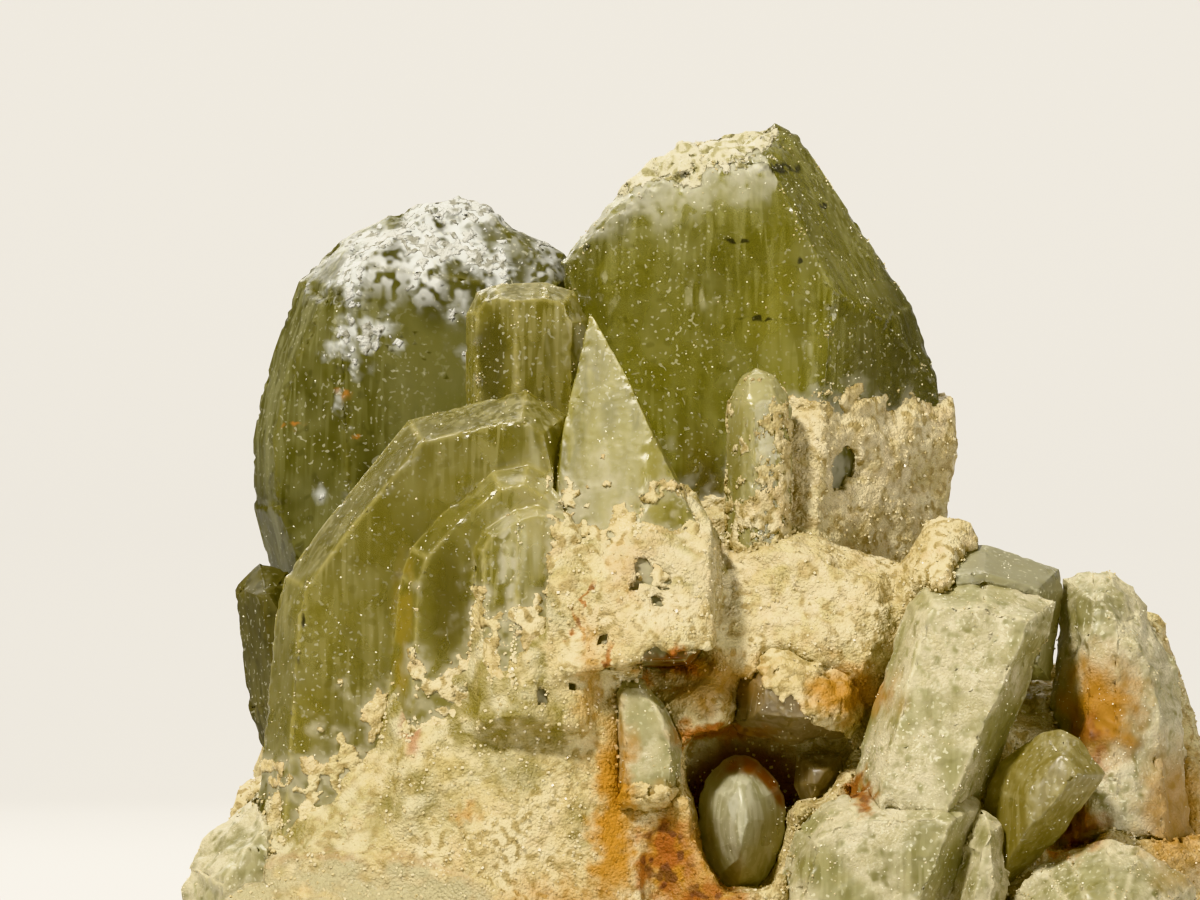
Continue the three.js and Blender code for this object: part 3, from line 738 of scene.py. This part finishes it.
# Painted shade on the right face, which turns away from the key light
right_face_shade = blotch(tree, 16, 64, 5, 12, y=4, wander=8, scale=180, soft=0.8)
colour = paint(tree, colour, (0.08, 0.068, 0.008), times(tree, right_face_shade, 0.7))
foot = blotch(tree, -1.5, 53, 4, 7, y=-3, wander=5, scale=180, soft=0.8)
colour = paint(tree, colour, (0.10, 0.07, 0.010), times(tree, foot, 0.8))
milky_top = blotch(tree, -2, 82, 10, 4.5, y=0, wander=5, scale=180, soft=0.8)
colour = paint(tree, colour, PALE_OLIVE, times(tree, milky_top, 0.7))
for x, z, wide, high in ((9.3, 67, 1.0, 6), (-10.8, 73, 1.2, 5), (-2, 71.5, 2.6, 2.2)):
    white = blotch(tree, x, z, wide, high, y=0, wander=3, scale=700, soft=0.8)
    white = times(tree, white, flecks(tree, 0.4, 0.46, 0.16, stretch=(1, 1, 0.35)), 0.6)
    colour = paint(tree, colour, (0.52, 0.49, 0.28), white)
for x, z, wide, high in (
    (6.3, 84.2, 3.4, 0.7),
    (2.0, 77.0, 1.7, 0.4),
    (8.2, 74.7, 0.4, 0.9),
    (4.3, 69.2, 3.0, 0.35),
    (-13.2, 76.4, 0.5, 0.6),
    (10.7, 80.6, 0.7, 0.4),
):
    # Small near-black spots
    spot = blotch(tree, x, z, wide, high, y=0, wander=1.2, scale=700, soft=0.5)
    spot = times(tree, spot, flecks(tree, 0.4, 0.42, 0.1))
    colour = paint(tree, colour, NEAR_BLACK, times(tree, spot, 0.9))
finish_crystal(tree, shader, colour, 0.16, powder=(0.53, 0.50, 0.35))


def tall_crust_height(p):
    if p.x > 5.5 + 1.5 * noise.noise(p / 3):
        return -9.0
    return p.z - 83.2 - 0.2 * p.x + 2.4 * noise.fractal(p / 3, 0.8, 2.1, 5)


def tall_crust(p):
    return smoothstep(0.0, 1.8, tall_crust_height(p))


def tall_dust(p):
    return max(coat_dust(p), 0.95 * smoothstep(-5.0, 0.6, tall_crust_height(p)))


bm, corners = faceted("tall_crystal")
tall = make_piece("tall_crystal_dressed", bm, tall_gem, ["tall_crystal"])
worn(tall, corners, broken=tall_crust, dusty=tall_dust)
crust("tall_crust", tall, tall_crust, 0.16, top_crust, ragged=0.7)
crust("tall_sugar", tall, front_sugar, 0.2, cream_crust, ragged=0.55)

# The back left crystal
# A darker, thicker crystal behind the blades. Powdery white frost lies on the upper half of its face,
# and its left side is deep olive.
FROST = (0.50, 0.50, 0.46)

frost_crust = crust_material(
    "frost_crust", (0.34, 0.33, 0.28), FROST, gap=(0.20, 0.19, 0.14), iron=False
)
dark_gem, tree, shader, colour = crystal_material(
    "back_left_crystal",
    (0.072, 0.066, 0.008),
    (0.026, 0.023, 0.003),
    (0.20, 0.19, 0.075),
    transmission=0.3,
    density=400.0,
    shine=0.12,
)
greyer = blotch(tree, -28, 64, 9, 14, y=3, wander=8, scale=180, soft=0.8)
colour = paint(tree, colour, (0.19, 0.18, 0.07), times(tree, greyer, 0.7))
# Painted shade in a hollow of the face
hollow_shade = blotch(tree, -28.5, 71, 3.2, 4.5, y=3, wander=3, scale=180, soft=0.7)
colour = paint(tree, colour, (0.05, 0.046, 0.010), times(tree, hollow_shade, 0.8))
for x, z, wide, high in ((-37.2, 61.8, 1.2, 0.9), (-42.5, 58.5, 1.6, 0.35), (-36, 57.5, 0.8, 0.3)):
    spot = blotch(tree, x, z, wide, high, y=3, wander=2.6, scale=700, soft=0.8)
    spot = times(tree, spot, flecks(tree, 0.5, 0.3, 0.3))
    colour = paint(tree, colour, (0.36, 0.15, 0.03), spot)
powder = blotch(tree, -26, 76, 17, 9, y=3, wander=9, scale=180, soft=0.8)
streaks = flecks(tree, 1.6, 0.34, 0.3, stretch=(1, 1, 0.35), turn=(0, 0.35, 0))
powder = times(tree, powder, streaks, flecks(tree, 0.35, 0.3, 0.3))
colour = paint(tree, colour, (0.80, 0.80, 0.76), times(tree, powder, 0.9))
finish_crystal(
    tree, shader, colour, 0.32, edges=(0.14, 0.125, 0.03), speck=0.4, powder=(0.74, 0.75, 0.71)
)


def frost(p):
    if p.y > 12:
        return 0.0
    reach = (p.z - 70) / 9 - abs(p.x + 24) / 20
    drift = 1.3 * noise.fractal(Vector((p.x / 3.4, p.y / 5, p.z / 5)), 0.6, 2.1, 5)
    low = 0.9 - (Vector((p.x + 34, 0, p.z - 52)).length / 4)
    streak = 0.7 - abs(p.x + 36.5) / 3.5 - abs(p.z - 68) / 16
    return 0.8 * smoothstep(0.1, 1.0, max(reach, low, streak) + drift)


def broken_top(p):
    return 0.6 * smoothstep(76, 81, p.z + 2.5 * noise.noise(p / 4))


bm, corners = faceted("back_left_crystal")
back_left = make_piece(
    "back_left_crystal_dressed", bm, dark_gem, ["back_left_crystal"]
)
worn(back_left, corners, chips=0.25, broken=broken_top, dusty=frost)
crust(
    "back_left_frost", back_left, lambda p: frost(p) - 0.2, 0.05, frost_crust, ragged=0.8
)

# The front blades
# Thin bladed crystals that grew side by side in one group. A golden glow of light is painted along
# their bevelled left edges, and the sugary coat covers their lower right part.
GOLDEN_GLOW = (0.40, 0.29, 0.05)

blade_gem, tree, shader, colour = crystal_material(
    "front_blades", (0.25, 0.215, 0.045), (0.14, 0.118, 0.016), (0.44, 0.39, 0.15)
)
# A painted golden glow along the bevelled left edge
golden_glow = blotch(tree, -31.4, 40, 1.7, 12, y=-14.5, deep=3, wander=1.0, soft=0.5)
colour = paint(tree, colour, GOLDEN_GLOW, times(tree, golden_glow, flecks(tree, 1.2, 0.3, 0.3), 0.8))
shade = blotch(tree, -27, 41, 3.0, 9, y=-16.5, deep=3.5, wander=2, soft=0.7)
colour = paint(tree, colour, (0.11, 0.088, 0.010), times(tree, shade, 0.75))
window = blotch(tree, -22.5, 65, 1.9, 6, y=-4, deep=9, wander=2, soft=0.5)
colour = paint(tree, colour, (0.09, 0.078, 0.014), times(tree, window, 0.85))
for x, z in ((-41.7, 36), (-42.2, 29), (-41.2, 39)):
    # Short near-black dashes
    dash = blotch(tree, x, z, 0.3, 2.2, y=-13, deep=30, wander=0.8, scale=700, soft=0.7)
    colour = paint(tree, colour, NEAR_BLACK, times(tree, dash, flecks(tree, 0.5, 0.45, 0.05)))
milk = blotch(tree, -16.5, 50, 5, 8, y=-18, deep=14, wander=4, soft=0.7)
colour = paint(tree, colour, (0.55, 0.47, 0.20), times(tree, milk, 0.7))
for x, z, wide, high in ((-15.2, 50.2, 2.2, 1.7), (-14, 67, 1.6, 5), (-20.5, 45, 1.5, 6)):
    white = blotch(tree, x, z, wide, high, y=-15, deep=30, wander=1.6, scale=700, soft=0.6)
    white = times(tree, white, flecks(tree, 0.6, 0.40, 0.14), 0.85)
    colour = paint(tree, colour, (0.66, 0.61, 0.42), white)
for x, z, wide, high, lean in ((-16, 55, 4, 8, 0.5), (-15.5, 68, 3, 7, 0.15), (-20, 46, 3, 5, 0.3)):
    feather = blotch(tree, x, z, wide, high, y=-14, deep=30, wander=4, scale=180, soft=0.8)
    quill = flecks(tree, 0.45, 0.44, 0.18, stretch=(1, 1, 0.14), turn=(0, lean, 0))
    colour = paint(tree, colour, (0.62, 0.57, 0.31), times(tree, feather, quill, 0.95))
finish_crystal(tree, shader, colour, 0.2, edges=(0.50, 0.43, 0.14), glow=0.8)
bm, corners = faceted("front_blades")
blades = make_piece("front_blades_dressed", bm, blade_gem, ["front_blades"])
worn(blades, corners, chips=0.12, dusty=coat_dust)
crust("blade_sugar", blades, front_sugar, 0.18, cream_crust, ragged=0.6)

# The centre crystal
# A pale wedge between the blades and the tall crystal, full of fan-like streaks.
centre_gem, tree, shader, colour = crystal_material(
    "centre_crystal", (0.24, 0.21, 0.035), (0.15, 0.125, 0.015), (0.36, 0.32, 0.085), shine=0.12
)
for lean, size in ((0.3, 1.4), (0.1, 0.7)):
    fan = flecks(tree, size, 0.46, 0.2, stretch=(1, 1, 0.1), turn=(0, lean, 0))
    colour = paint(tree, colour, (0.42, 0.37, 0.10), times(tree, fan, 0.75))
pale_foot = blotch(tree, -10, 52, 8, 7, wander=4, scale=180, soft=0.8)
colour = paint(tree, colour, (0.44, 0.38, 0.13), times(tree, pale_foot, 0.6))
finish_crystal(tree, shader, colour, 0.3, edges=(0.5, 0.45, 0.16), iron=True)
bm, corners = faceted("centre_crystal")
centre = make_piece("centre_crystal_dressed", bm, centre_gem, ["centre_crystal"])
worn(centre, corners, chips=0.12, dusty=coat_dust)
crust("centre_sugar", centre, front_sugar, 0.2, cream_crust, ragged=0.55)

# The small prism
# A whitish upright prism with a rounded end, standing in front of the tall crystal.
prism_gem, tree, shader, colour = crystal_material(
    "small_prism", (0.48, 0.43, 0.16), (0.30, 0.26, 0.07), (0.66, 0.61, 0.34)
)
finish_crystal(tree, shader, colour, 0.16, edges=(0.62, 0.56, 0.28))
bm, corners = faceted("small_prism", width=0.3, step=0.5)
prism = make_piece("small_prism_dressed", bm, prism_gem, ["small_prism"])


def prism_dust(p):
    patch = noise.fractal(p / 2.4, 0.7, 2.1, 5)
    return smoothstep(0.0, 0.35, patch + 0.06 * (56 - p.z) + 0.08 * (p.x - 4))


worn(prism, corners, chips=0.12)
crust("prism_sugar", prism, prism_dust, 0.15, cream_crust, ragged=0.7)

# The edge crystal
# A small dark crystal at the left edge, half hidden behind the blades.
edge_gem, tree, shader, colour = crystal_material(
    "edge_crystal",
    (0.05, 0.042, 0.006),
    (0.02, 0.017, 0.002),
    (0.13, 0.115, 0.04),
    transmission=0.15,
    density=400.0,
    shine=0.12,
)
finish_crystal(tree, shader, colour, 0.5, edges=(0.1, 0.08, 0.02), glow=0.4, speck=0.3)
bm, corners = faceted("edge_crystal", step=0.7)
edge = make_piece("edge_crystal_dressed", bm, edge_gem, ["edge_crystal"])
worn(edge, corners)

# The pale crystals on the right and at the foot
# Milky green blocks with a thin whitish rind that has worn through in patches, and which iron stain
# runs over.
RIND = (0.47, 0.41, 0.24)

milky_gem, tree, shader, colour = crystal_material(
    "milky_crystals",
    (0.215, 0.195, 0.068),
    (0.135, 0.12, 0.032),
    (0.33, 0.305, 0.145),
    transmission=0.2,
)
flake = flecks(tree, 4.5, 0.34, 0.24)
for x, z, wide, high in (
    (31.5, 37, 3.4, 6),
    (28, 28, 4, 6),
    (20.5, 16, 5, 8),
    (13, 12, 6, 3),
    (38, 13, 10, 4.5),
    (37, 40, 5, 4),
    (-7.5, 29, 3, 4),
):
    bare = blotch(tree, x, z, wide, high, wander=5, scale=180, soft=0.7)
    flake = times(tree, flake, maths(tree, "SUBTRACT", 1.0, times(tree, bare, 0.9)))
for x, z, wide, high in ((21, 36, 5.5, 9), (13, 21, 6, 5), (45, 28, 4.5, 13)):
    laid = blotch(tree, x, z, wide, high, wander=6, scale=180, soft=0.8)
    flake = maths(tree, "MAXIMUM", flake, times(tree, laid, 0.9))
flake = times(tree, flake, flecks(tree, 0.5, 0.22, 0.35))
colour = paint(tree, colour, RIND, times(tree, flake, 0.95))
bright = times(tree, flake, flecks(tree, 1.4, 0.46, 0.2), 0.7)
colour = paint(tree, colour, (0.58, 0.52, 0.35), bright)
sugar = add_node(tree, "Group", {"Scale": 3200.0}, node_tree=sugar_group).outputs
colour = paint(tree, colour, (0.62, 0.56, 0.39), times(tree, flake, sugar["Tone"], 0.45))
colour = paint(tree, colour, GREENISH_SUGAR, times(tree, flecks(tree, 1.0, 0.5, 0.2), 0.25))
foot = blotch(tree, -6, 20, 4, 4, wander=2, soft=0.5)
colour = paint(tree, colour, OCHRE, times(tree, foot, flecks(tree, 1.2, 0.3, 0.3)))
finish_crystal(
    tree,
    shader,
    colour,
    0.4,
    edges=(0.56, 0.50, 0.31),
    iron=True,
    grains=times(tree, flake, sugar["Height"]),
)

MILKY_BLOCKS = {
    "side_crystal": 0.25,
    "lower_block": 0.35,
    "far_right_crystal": 0.5,
    "corner_crystal": 0.4,
    "sliver_crystal": 0.2,
    "column_crystal": 0.2,
    "low_left_block": 0.5,
}


def column_foot(p):
    """Rusty sugar, which the foot of the column is grown into."""
    return smoothstep(-0.8, 0.8, 22.6 - p.z + 1.4 * noise.noise(p / 1.6))


def rind_grains(p):
    return 0.2 * smoothstep(-0.15, 0.3, noise.noise(p / 3.5))


for node, uneven in MILKY_BLOCKS.items():
    bm, corners = faceted(node, width=0.3, step=0.6)
    block = make_piece(node + "_dressed", bm, milky_gem, [node])
    worn(block, corners, chips=0.22, broken=lambda p: uneven)
    crusted.append((block, rind_grains))
    if node == "column_crystal":
        crust("column_sugar", block, column_foot, 0.45, cream_crust, ragged=0.4)

# The stub crystal
# A rounded, cleaner olive prism that leans across the front of the right-hand cleft.
stub_gem, tree, shader, colour = crystal_material(
    "stub_crystal", (0.35, 0.275, 0.075), (0.19, 0.15, 0.028), (0.48, 0.41, 0.17)
)
finish_crystal(tree, shader, colour, 0.32, edges=(0.52, 0.45, 0.2), glow=0.4)
bm, corners = faceted("stub_crystal", width=0.6, step=0.6)
stub = make_piece("stub_crystal_dressed", bm, stub_gem, ["stub_crystal"])
worn(stub, corners, chips=0.12)

# The clear crystals
# The greenish crystal in the vug and the grey end behind the side crystal are the clearest ones.
clear_gem, tree, shader, colour = crystal_material(
    "clear_crystals",
    (0.42, 0.39, 0.20),
    (0.25, 0.23, 0.10),
    (0.66, 0.63, 0.44),
    transmission=0.45,
    density=60.0,
)
greyer_end = blotch(tree, 31, 43, 8, 7, wander=2, soft=0.4)
colour = paint(tree, colour, (0.27, 0.245, 0.13), times(tree, greyer_end, 0.7))
for x, z, wide, high in ((5.4, 15, 1.0, 3.0), (1.6, 20.5, 0.7, 2.4)):
    streak = blotch(tree, x, z, wide, high, wander=1.5, scale=700, soft=0.7)
    streak = times(tree, streak, flecks(tree, 0.4, 0.36, 0.2))
    colour = paint(tree, colour, (0.62, 0.60, 0.44), streak)
rim = maths(tree, "SUBTRACT", 1.0, blotch(tree, 2.2, 17.6, 4.7, 6.9, wander=0.8, soft=0.15))
rim = times(tree, rim, blotch(tree, 4.5, 23.5, 5.5, 4.5, wander=1, soft=0.4))
colour = paint(tree, colour, (0.20, 0.055, 0.006), rim)
finish_crystal(tree, shader, colour, 0.26, edges=(0.6, 0.57, 0.38), glow=0.3)
ROUNDING_PASSES = 12
for node, width in (("pocket_crystal", 1.1), ("grey_crystal", 0.4)):
    bm, corners = faceted(node, width=width, step=0.5)
    piece = make_piece(node + "_dressed", bm, clear_gem, [node])
    worn(piece, corners, chips=0.1)
    if node == "pocket_crystal":
        bm = bmesh.new()
        bm.from_mesh(piece.data)
        for _ in range(ROUNDING_PASSES):
            bmesh.ops.smooth_vert(
                bm, verts=bm.verts, factor=0.5, use_axis_x=True, use_axis_y=True, use_axis_z=True
            )
        bm.to_mesh(piece.data)
        bm.free()
        piece.data.set_sharp_from_angle(angle=math.radians(60))

# The smoky crystals
# Two grey-brown crystals at the top right of the vug, filmed with iron stain.
smoky_gem, tree, shader, colour = crystal_material(
    "smoky_crystals", (0.26, 0.19, 0.085), (0.14, 0.095, 0.04), (0.44, 0.36, 0.22)
)
finish_crystal(tree, shader, colour, 0.3, edges=(0.4, 0.3, 0.13), iron=True)


def smoky_sugar(p):
    """The rock's sugar, which lies over the upper right of the larger smoky crystal."""
    return smoothstep(-0.9, 0.9, p.z - 32 + 0.67 * (p.x - 5.8) + 1.5 * noise.noise(p / 1.5))


for node in ("smoky_crystal_upper", "smoky_crystal_lower"):
    bm, corners = faceted(node, width=0.3, step=0.5)
    piece = make_piece(node + "_dressed", bm, smoky_gem, [node])
    worn(piece, corners, chips=0.2)
    if node == "smoky_crystal_upper":
        crust("smoky_sugar", piece, smoky_sugar, 0.4, cream_crust, ragged=0.4)

# The seams
# The crystals grew together with the rock and, at three places, with each other. There the surfaces
# are drawn up to the ones that they face.
SEAM_REACH = 1.8
SEAM_PULL = 0.85
PAIR_REACH = 1.6
PAIR_PULL = 0.6

GROWN_TOGETHER = (
    ("side_crystal", "lower_block"),
    ("side_crystal", "grey_crystal"),
    ("lower_block", "sliver_crystal"),
)


def draw_to(piece, surface, reach, share):
    """Moves the points of a piece that face a surface near them a share of the way to it."""
    normals = [v.normal.copy() for v in piece.data.vertices]
    for v, normal in zip(piece.data.vertices, normals):
        near = surface.find_nearest(v.co, reach * MM)
        if near[0] is not None and v.co.z > 2 * MM:
            facing = smoothstep(-0.1, 0.5, (near[0] - v.co).normalized().dot(normal))
            pull = share * facing * smoothstep(reach, 0.3 * reach, near[3] / MM)
            v.co = v.co.lerp(near[0], pull)
    piece.data.update()


dressed = [o for o in bpy.context.scene.objects if o.name.endswith("_dressed")]
for names in GROWN_TOGETHER:
    one, other = (bpy.data.objects[part + "_dressed"] for part in names)
    surfaces = surface_of([one]), surface_of([other])
    draw_to(one, surfaces[1], PAIR_REACH, PAIR_PULL)
    draw_to(other, surfaces[0], PAIR_REACH, PAIR_PULL)
draw_to(rock, surface_of(dressed), SEAM_REACH, SEAM_PULL)

# The sugar grains
# Tiny quartz and feldspar crystals that stand on the coat, fill the seams between the crystals and the
# rock, and lie as dust on the crystals. Each sits half sunk in what carries it.
COAT_GRAINS = 12000
SEAM_GRAINS = 7000
SEAM_WIDTH = 0.8
DUST_GRAINS = 9000
BATCH = 300

grain_glass, tree, shader = new_material("sugar_grains")
colour = paint(tree, (0.60, 0.53, 0.34), (0.46, 0.38, 0.20), flecks(tree, 1.2, 0.4, 0.2))
colour, rough = stained(tree, colour, 0.25)
tree.links.new(colour, shader.inputs["Base Color"])
tree.links.new(rough, shader.inputs["Roughness"])
picker = random.Random(11)


def scatter(name, spots, count, sizes, material, flat=1.0):
    """Small six-sided grains at spots that are chosen by weight, each as place, normal and weight."""
    chosen = picker.choices(spots, [s[2] for s in spots], k=count)
    whole = bmesh.new()
    for start in range(0, count, BATCH):
        batch = bmesh.new()
        for centre, normal, _ in chosen[start : start + BATCH]:
            size = picker.uniform(*sizes) * MM
            turn = Euler([picker.uniform(0, math.tau) for _ in range(3)]).to_matrix().to_4x4()
            long = size * picker.uniform(1.0, 1.6)
            shape = Matrix.Diagonal((size, long, size * flat, 1.0))
            aside = Vector([picker.uniform(-0.3, 0.3) * MM for _ in range(3)])
            aside -= normal * aside.dot(normal)
            at = Matrix.Translation(centre + aside + normal * size * 0.1)
            bmesh.ops.create_cube(batch, size=1.5, matrix=at @ turn @ shape)
        part = bpy.data.meshes.new("grain_batch")
        batch.to_mesh(part)
        batch.free()
        whole.from_mesh(part)
        bpy.data.meshes.remove(part)
    return make_piece(name, whole, material)


coat_spots = []
for face in rock.data.polygons:
    p = face.center / MM
    if p.z > 2 and coat_loss(p) < 0.9:
        share = face.area * (1.0 if face.normal.y < -0.1 else 0.3)
        coat_spots.append((face.center.copy(), face.normal.copy(), share))
scatter("sugar_grains", coat_spots, COAT_GRAINS, (0.06, 0.16), grain_glass)

rock_points = kdtree.KDTree(len(rock.data.vertices))
for v in rock.data.vertices:
    rock_points.insert(v.co, v.index)
rock_points.balance()
seam_spots = []
in_the_open = [piece for piece in dressed if not piece.name.startswith(("pocket", "smoky"))]
for piece in in_the_open:
    for v in piece.data.vertices:
        near = rock_points.find(v.co)
        if near[2] < SEAM_WIDTH * MM and v.co.z > 0.004 and v.normal.y < 0.3:
            seam_spots.append((near[0], rock.data.vertices[near[1]].normal.copy(), 1.0))
dust_spots = []
for carrier, cover in crusted:
    if "back" in carrier.name:
        continue
    for v in carrier.data.vertices:
        laid = cover(v.co / MM) + 0.4 * noise.noise(v.co / (1.2 * MM))
        if 0.1 < laid and v.normal.y < 0.3:
            dust_spots.append((v.co.copy(), v.normal.copy(), min(laid, 0.6)))
scatter("seam_grains", seam_spots, SEAM_GRAINS, (0.08, 0.2), grain_glass)
scatter("dust_grains", dust_spots, DUST_GRAINS, (0.035, 0.09), grain_glass)

# The glints
# Tiny etched faces and healed fractures in the skin of the crystals, which flash in the light.
GLINTS = 3600

glint_glass, tree, shader = new_material("glints")
shader.inputs["Base Color"].default_value = (0.82, 0.79, 0.60, 1.0)
shader.inputs["Roughness"].default_value = 0.12
glint_spots = []
for piece in dressed:
    dark = 0.2 if "back" in piece.name or "edge" in piece.name else 1.0
    for face in piece.data.polygons:
        p = face.center / MM
        swarm = smoothstep(0.05, 0.4, noise.fractal(p / 4.5 + Vector((7, 2, 1)), 0.6, 2.1, 3))
        if p.z > 12 and face.normal.y < 0.2:
            share = face.area * (0.12 + swarm) * dark
            glint_spots.append((face.center.copy(), face.normal.copy(), share))
scatter("glints", glint_spots, GLINTS, (0.03, 0.09), glint_glass, flat=0.3)

# The floor and the backdrop
# One pale sheet that lies under the specimen and curves up far behind it. It isn't part of the object.
# The camera sees through the sheet from its back, so that the specimen can be looked at from behind.
bm = bmesh.new()
corner = [bm.verts.new((-1.6, -1.6, 0)), bm.verts.new((1.6, -1.6, 0))]
front_edge = bm.edges.new(corner)
swept = [front_edge]
for step_y, step_z in ((2.6, 0), (0.25, 0.04), (0.2, 0.16), (0.06, 0.3), (0, 1.5)):
    made = bmesh.ops.extrude_edge_only(bm, edges=swept)["geom"]
    moved = [g for g in made if isinstance(g, bmesh.types.BMVert)]
    bmesh.ops.translate(bm, verts=moved, vec=(0, step_y, step_z))
    swept = [g for g in made if isinstance(g, bmesh.types.BMEdge)]
bmesh.ops.recalc_face_normals(bm, faces=bm.faces)
bm.faces.ensure_lookup_table()
if bm.faces[0].normal.z < 0:
    bmesh.ops.reverse_faces(bm, faces=bm.faces)
sweep_mesh = bpy.data.meshes.new("floor_sweep")
bm.to_mesh(sweep_mesh)
bm.free()
sweep = bpy.data.objects.new("floor_sweep", sweep_mesh)
bpy.context.scene.collection.objects.link(sweep)
sweep_mesh.shade_smooth()
paper, tree, shader = new_material("backdrop_paper")
shader.inputs["Base Color"].default_value = (0.72, 0.71, 0.69, 1.0)
shader.inputs["Roughness"].default_value = 0.9
from_behind = times(
    tree,
    add_node(tree, "NewGeometry").outputs["Backfacing"],
    add_node(tree, "LightPath").outputs["Is Camera Ray"],
)
unseen = add_node(tree, "BsdfTransparent").outputs[0]
either = add_node(tree, "MixShader", {0: from_behind, 1: shader.outputs[0], 2: unseen})
output = next(n for n in tree.nodes if n.type == "OUTPUT_MATERIAL")
tree.links.new(either.outputs[0], output.inputs["Surface"])
sweep_mesh.materials.append(paper)

# The light and the camera
# A strong soft light from the upper left in front, a weak one from the right, and a pale surround.
world = bpy.data.worlds.new("studio")
bpy.context.scene.world = world
world.use_nodes = True
world.node_tree.nodes["Background"].inputs["Color"].default_value = (0.95, 0.94, 0.92, 1)
world.node_tree.nodes["Background"].inputs["Strength"].default_value = 0.22
bpy.context.scene.view_settings.view_transform = "Khronos PBR Neutral"


def area_light(name, place, aim, size, power, tint=(1.0, 0.96, 0.89)):
    lamp = bpy.data.lights.new(name, "AREA")
    lamp.color = tint
    lamp.size = size
    lamp.energy = power
    holder = bpy.data.objects.new(name, lamp)
    bpy.context.scene.collection.objects.link(holder)
    holder.location = place
    holder.rotation_euler = (Vector(aim) - Vector(place)).to_track_quat("-Z", "Y").to_euler()


area_light("key_light", (-0.36, -0.52, 0.76), (0, 0, 0.045), 0.11, 15.2)
area_light("fill_light", (0.7, -0.5, 0.25), (0, 0, 0.045), 0.4, 3.0)
area_light("rim_light", (-0.3, 0.6, 0.5), (0, 0, 0.05), 0.3, 2.5)
area_light("backdrop_light", (0, 0.4, 1.1), (0, 1.5, 0.3), 0.6, 14)

camera_data = bpy.data.cameras.new("camera")
camera_data.lens = 500
camera_data.sensor_width = 36
camera_data.clip_start = 0.1
camera_data.clip_end = 20
camera = bpy.data.objects.new("camera", camera_data)
bpy.context.scene.collection.objects.link(camera)
camera.location = (-0.0117, -1.667, 0.056)
camera.rotation_euler = (math.pi / 2, 0, 0)
bpy.context.scene.camera = camera
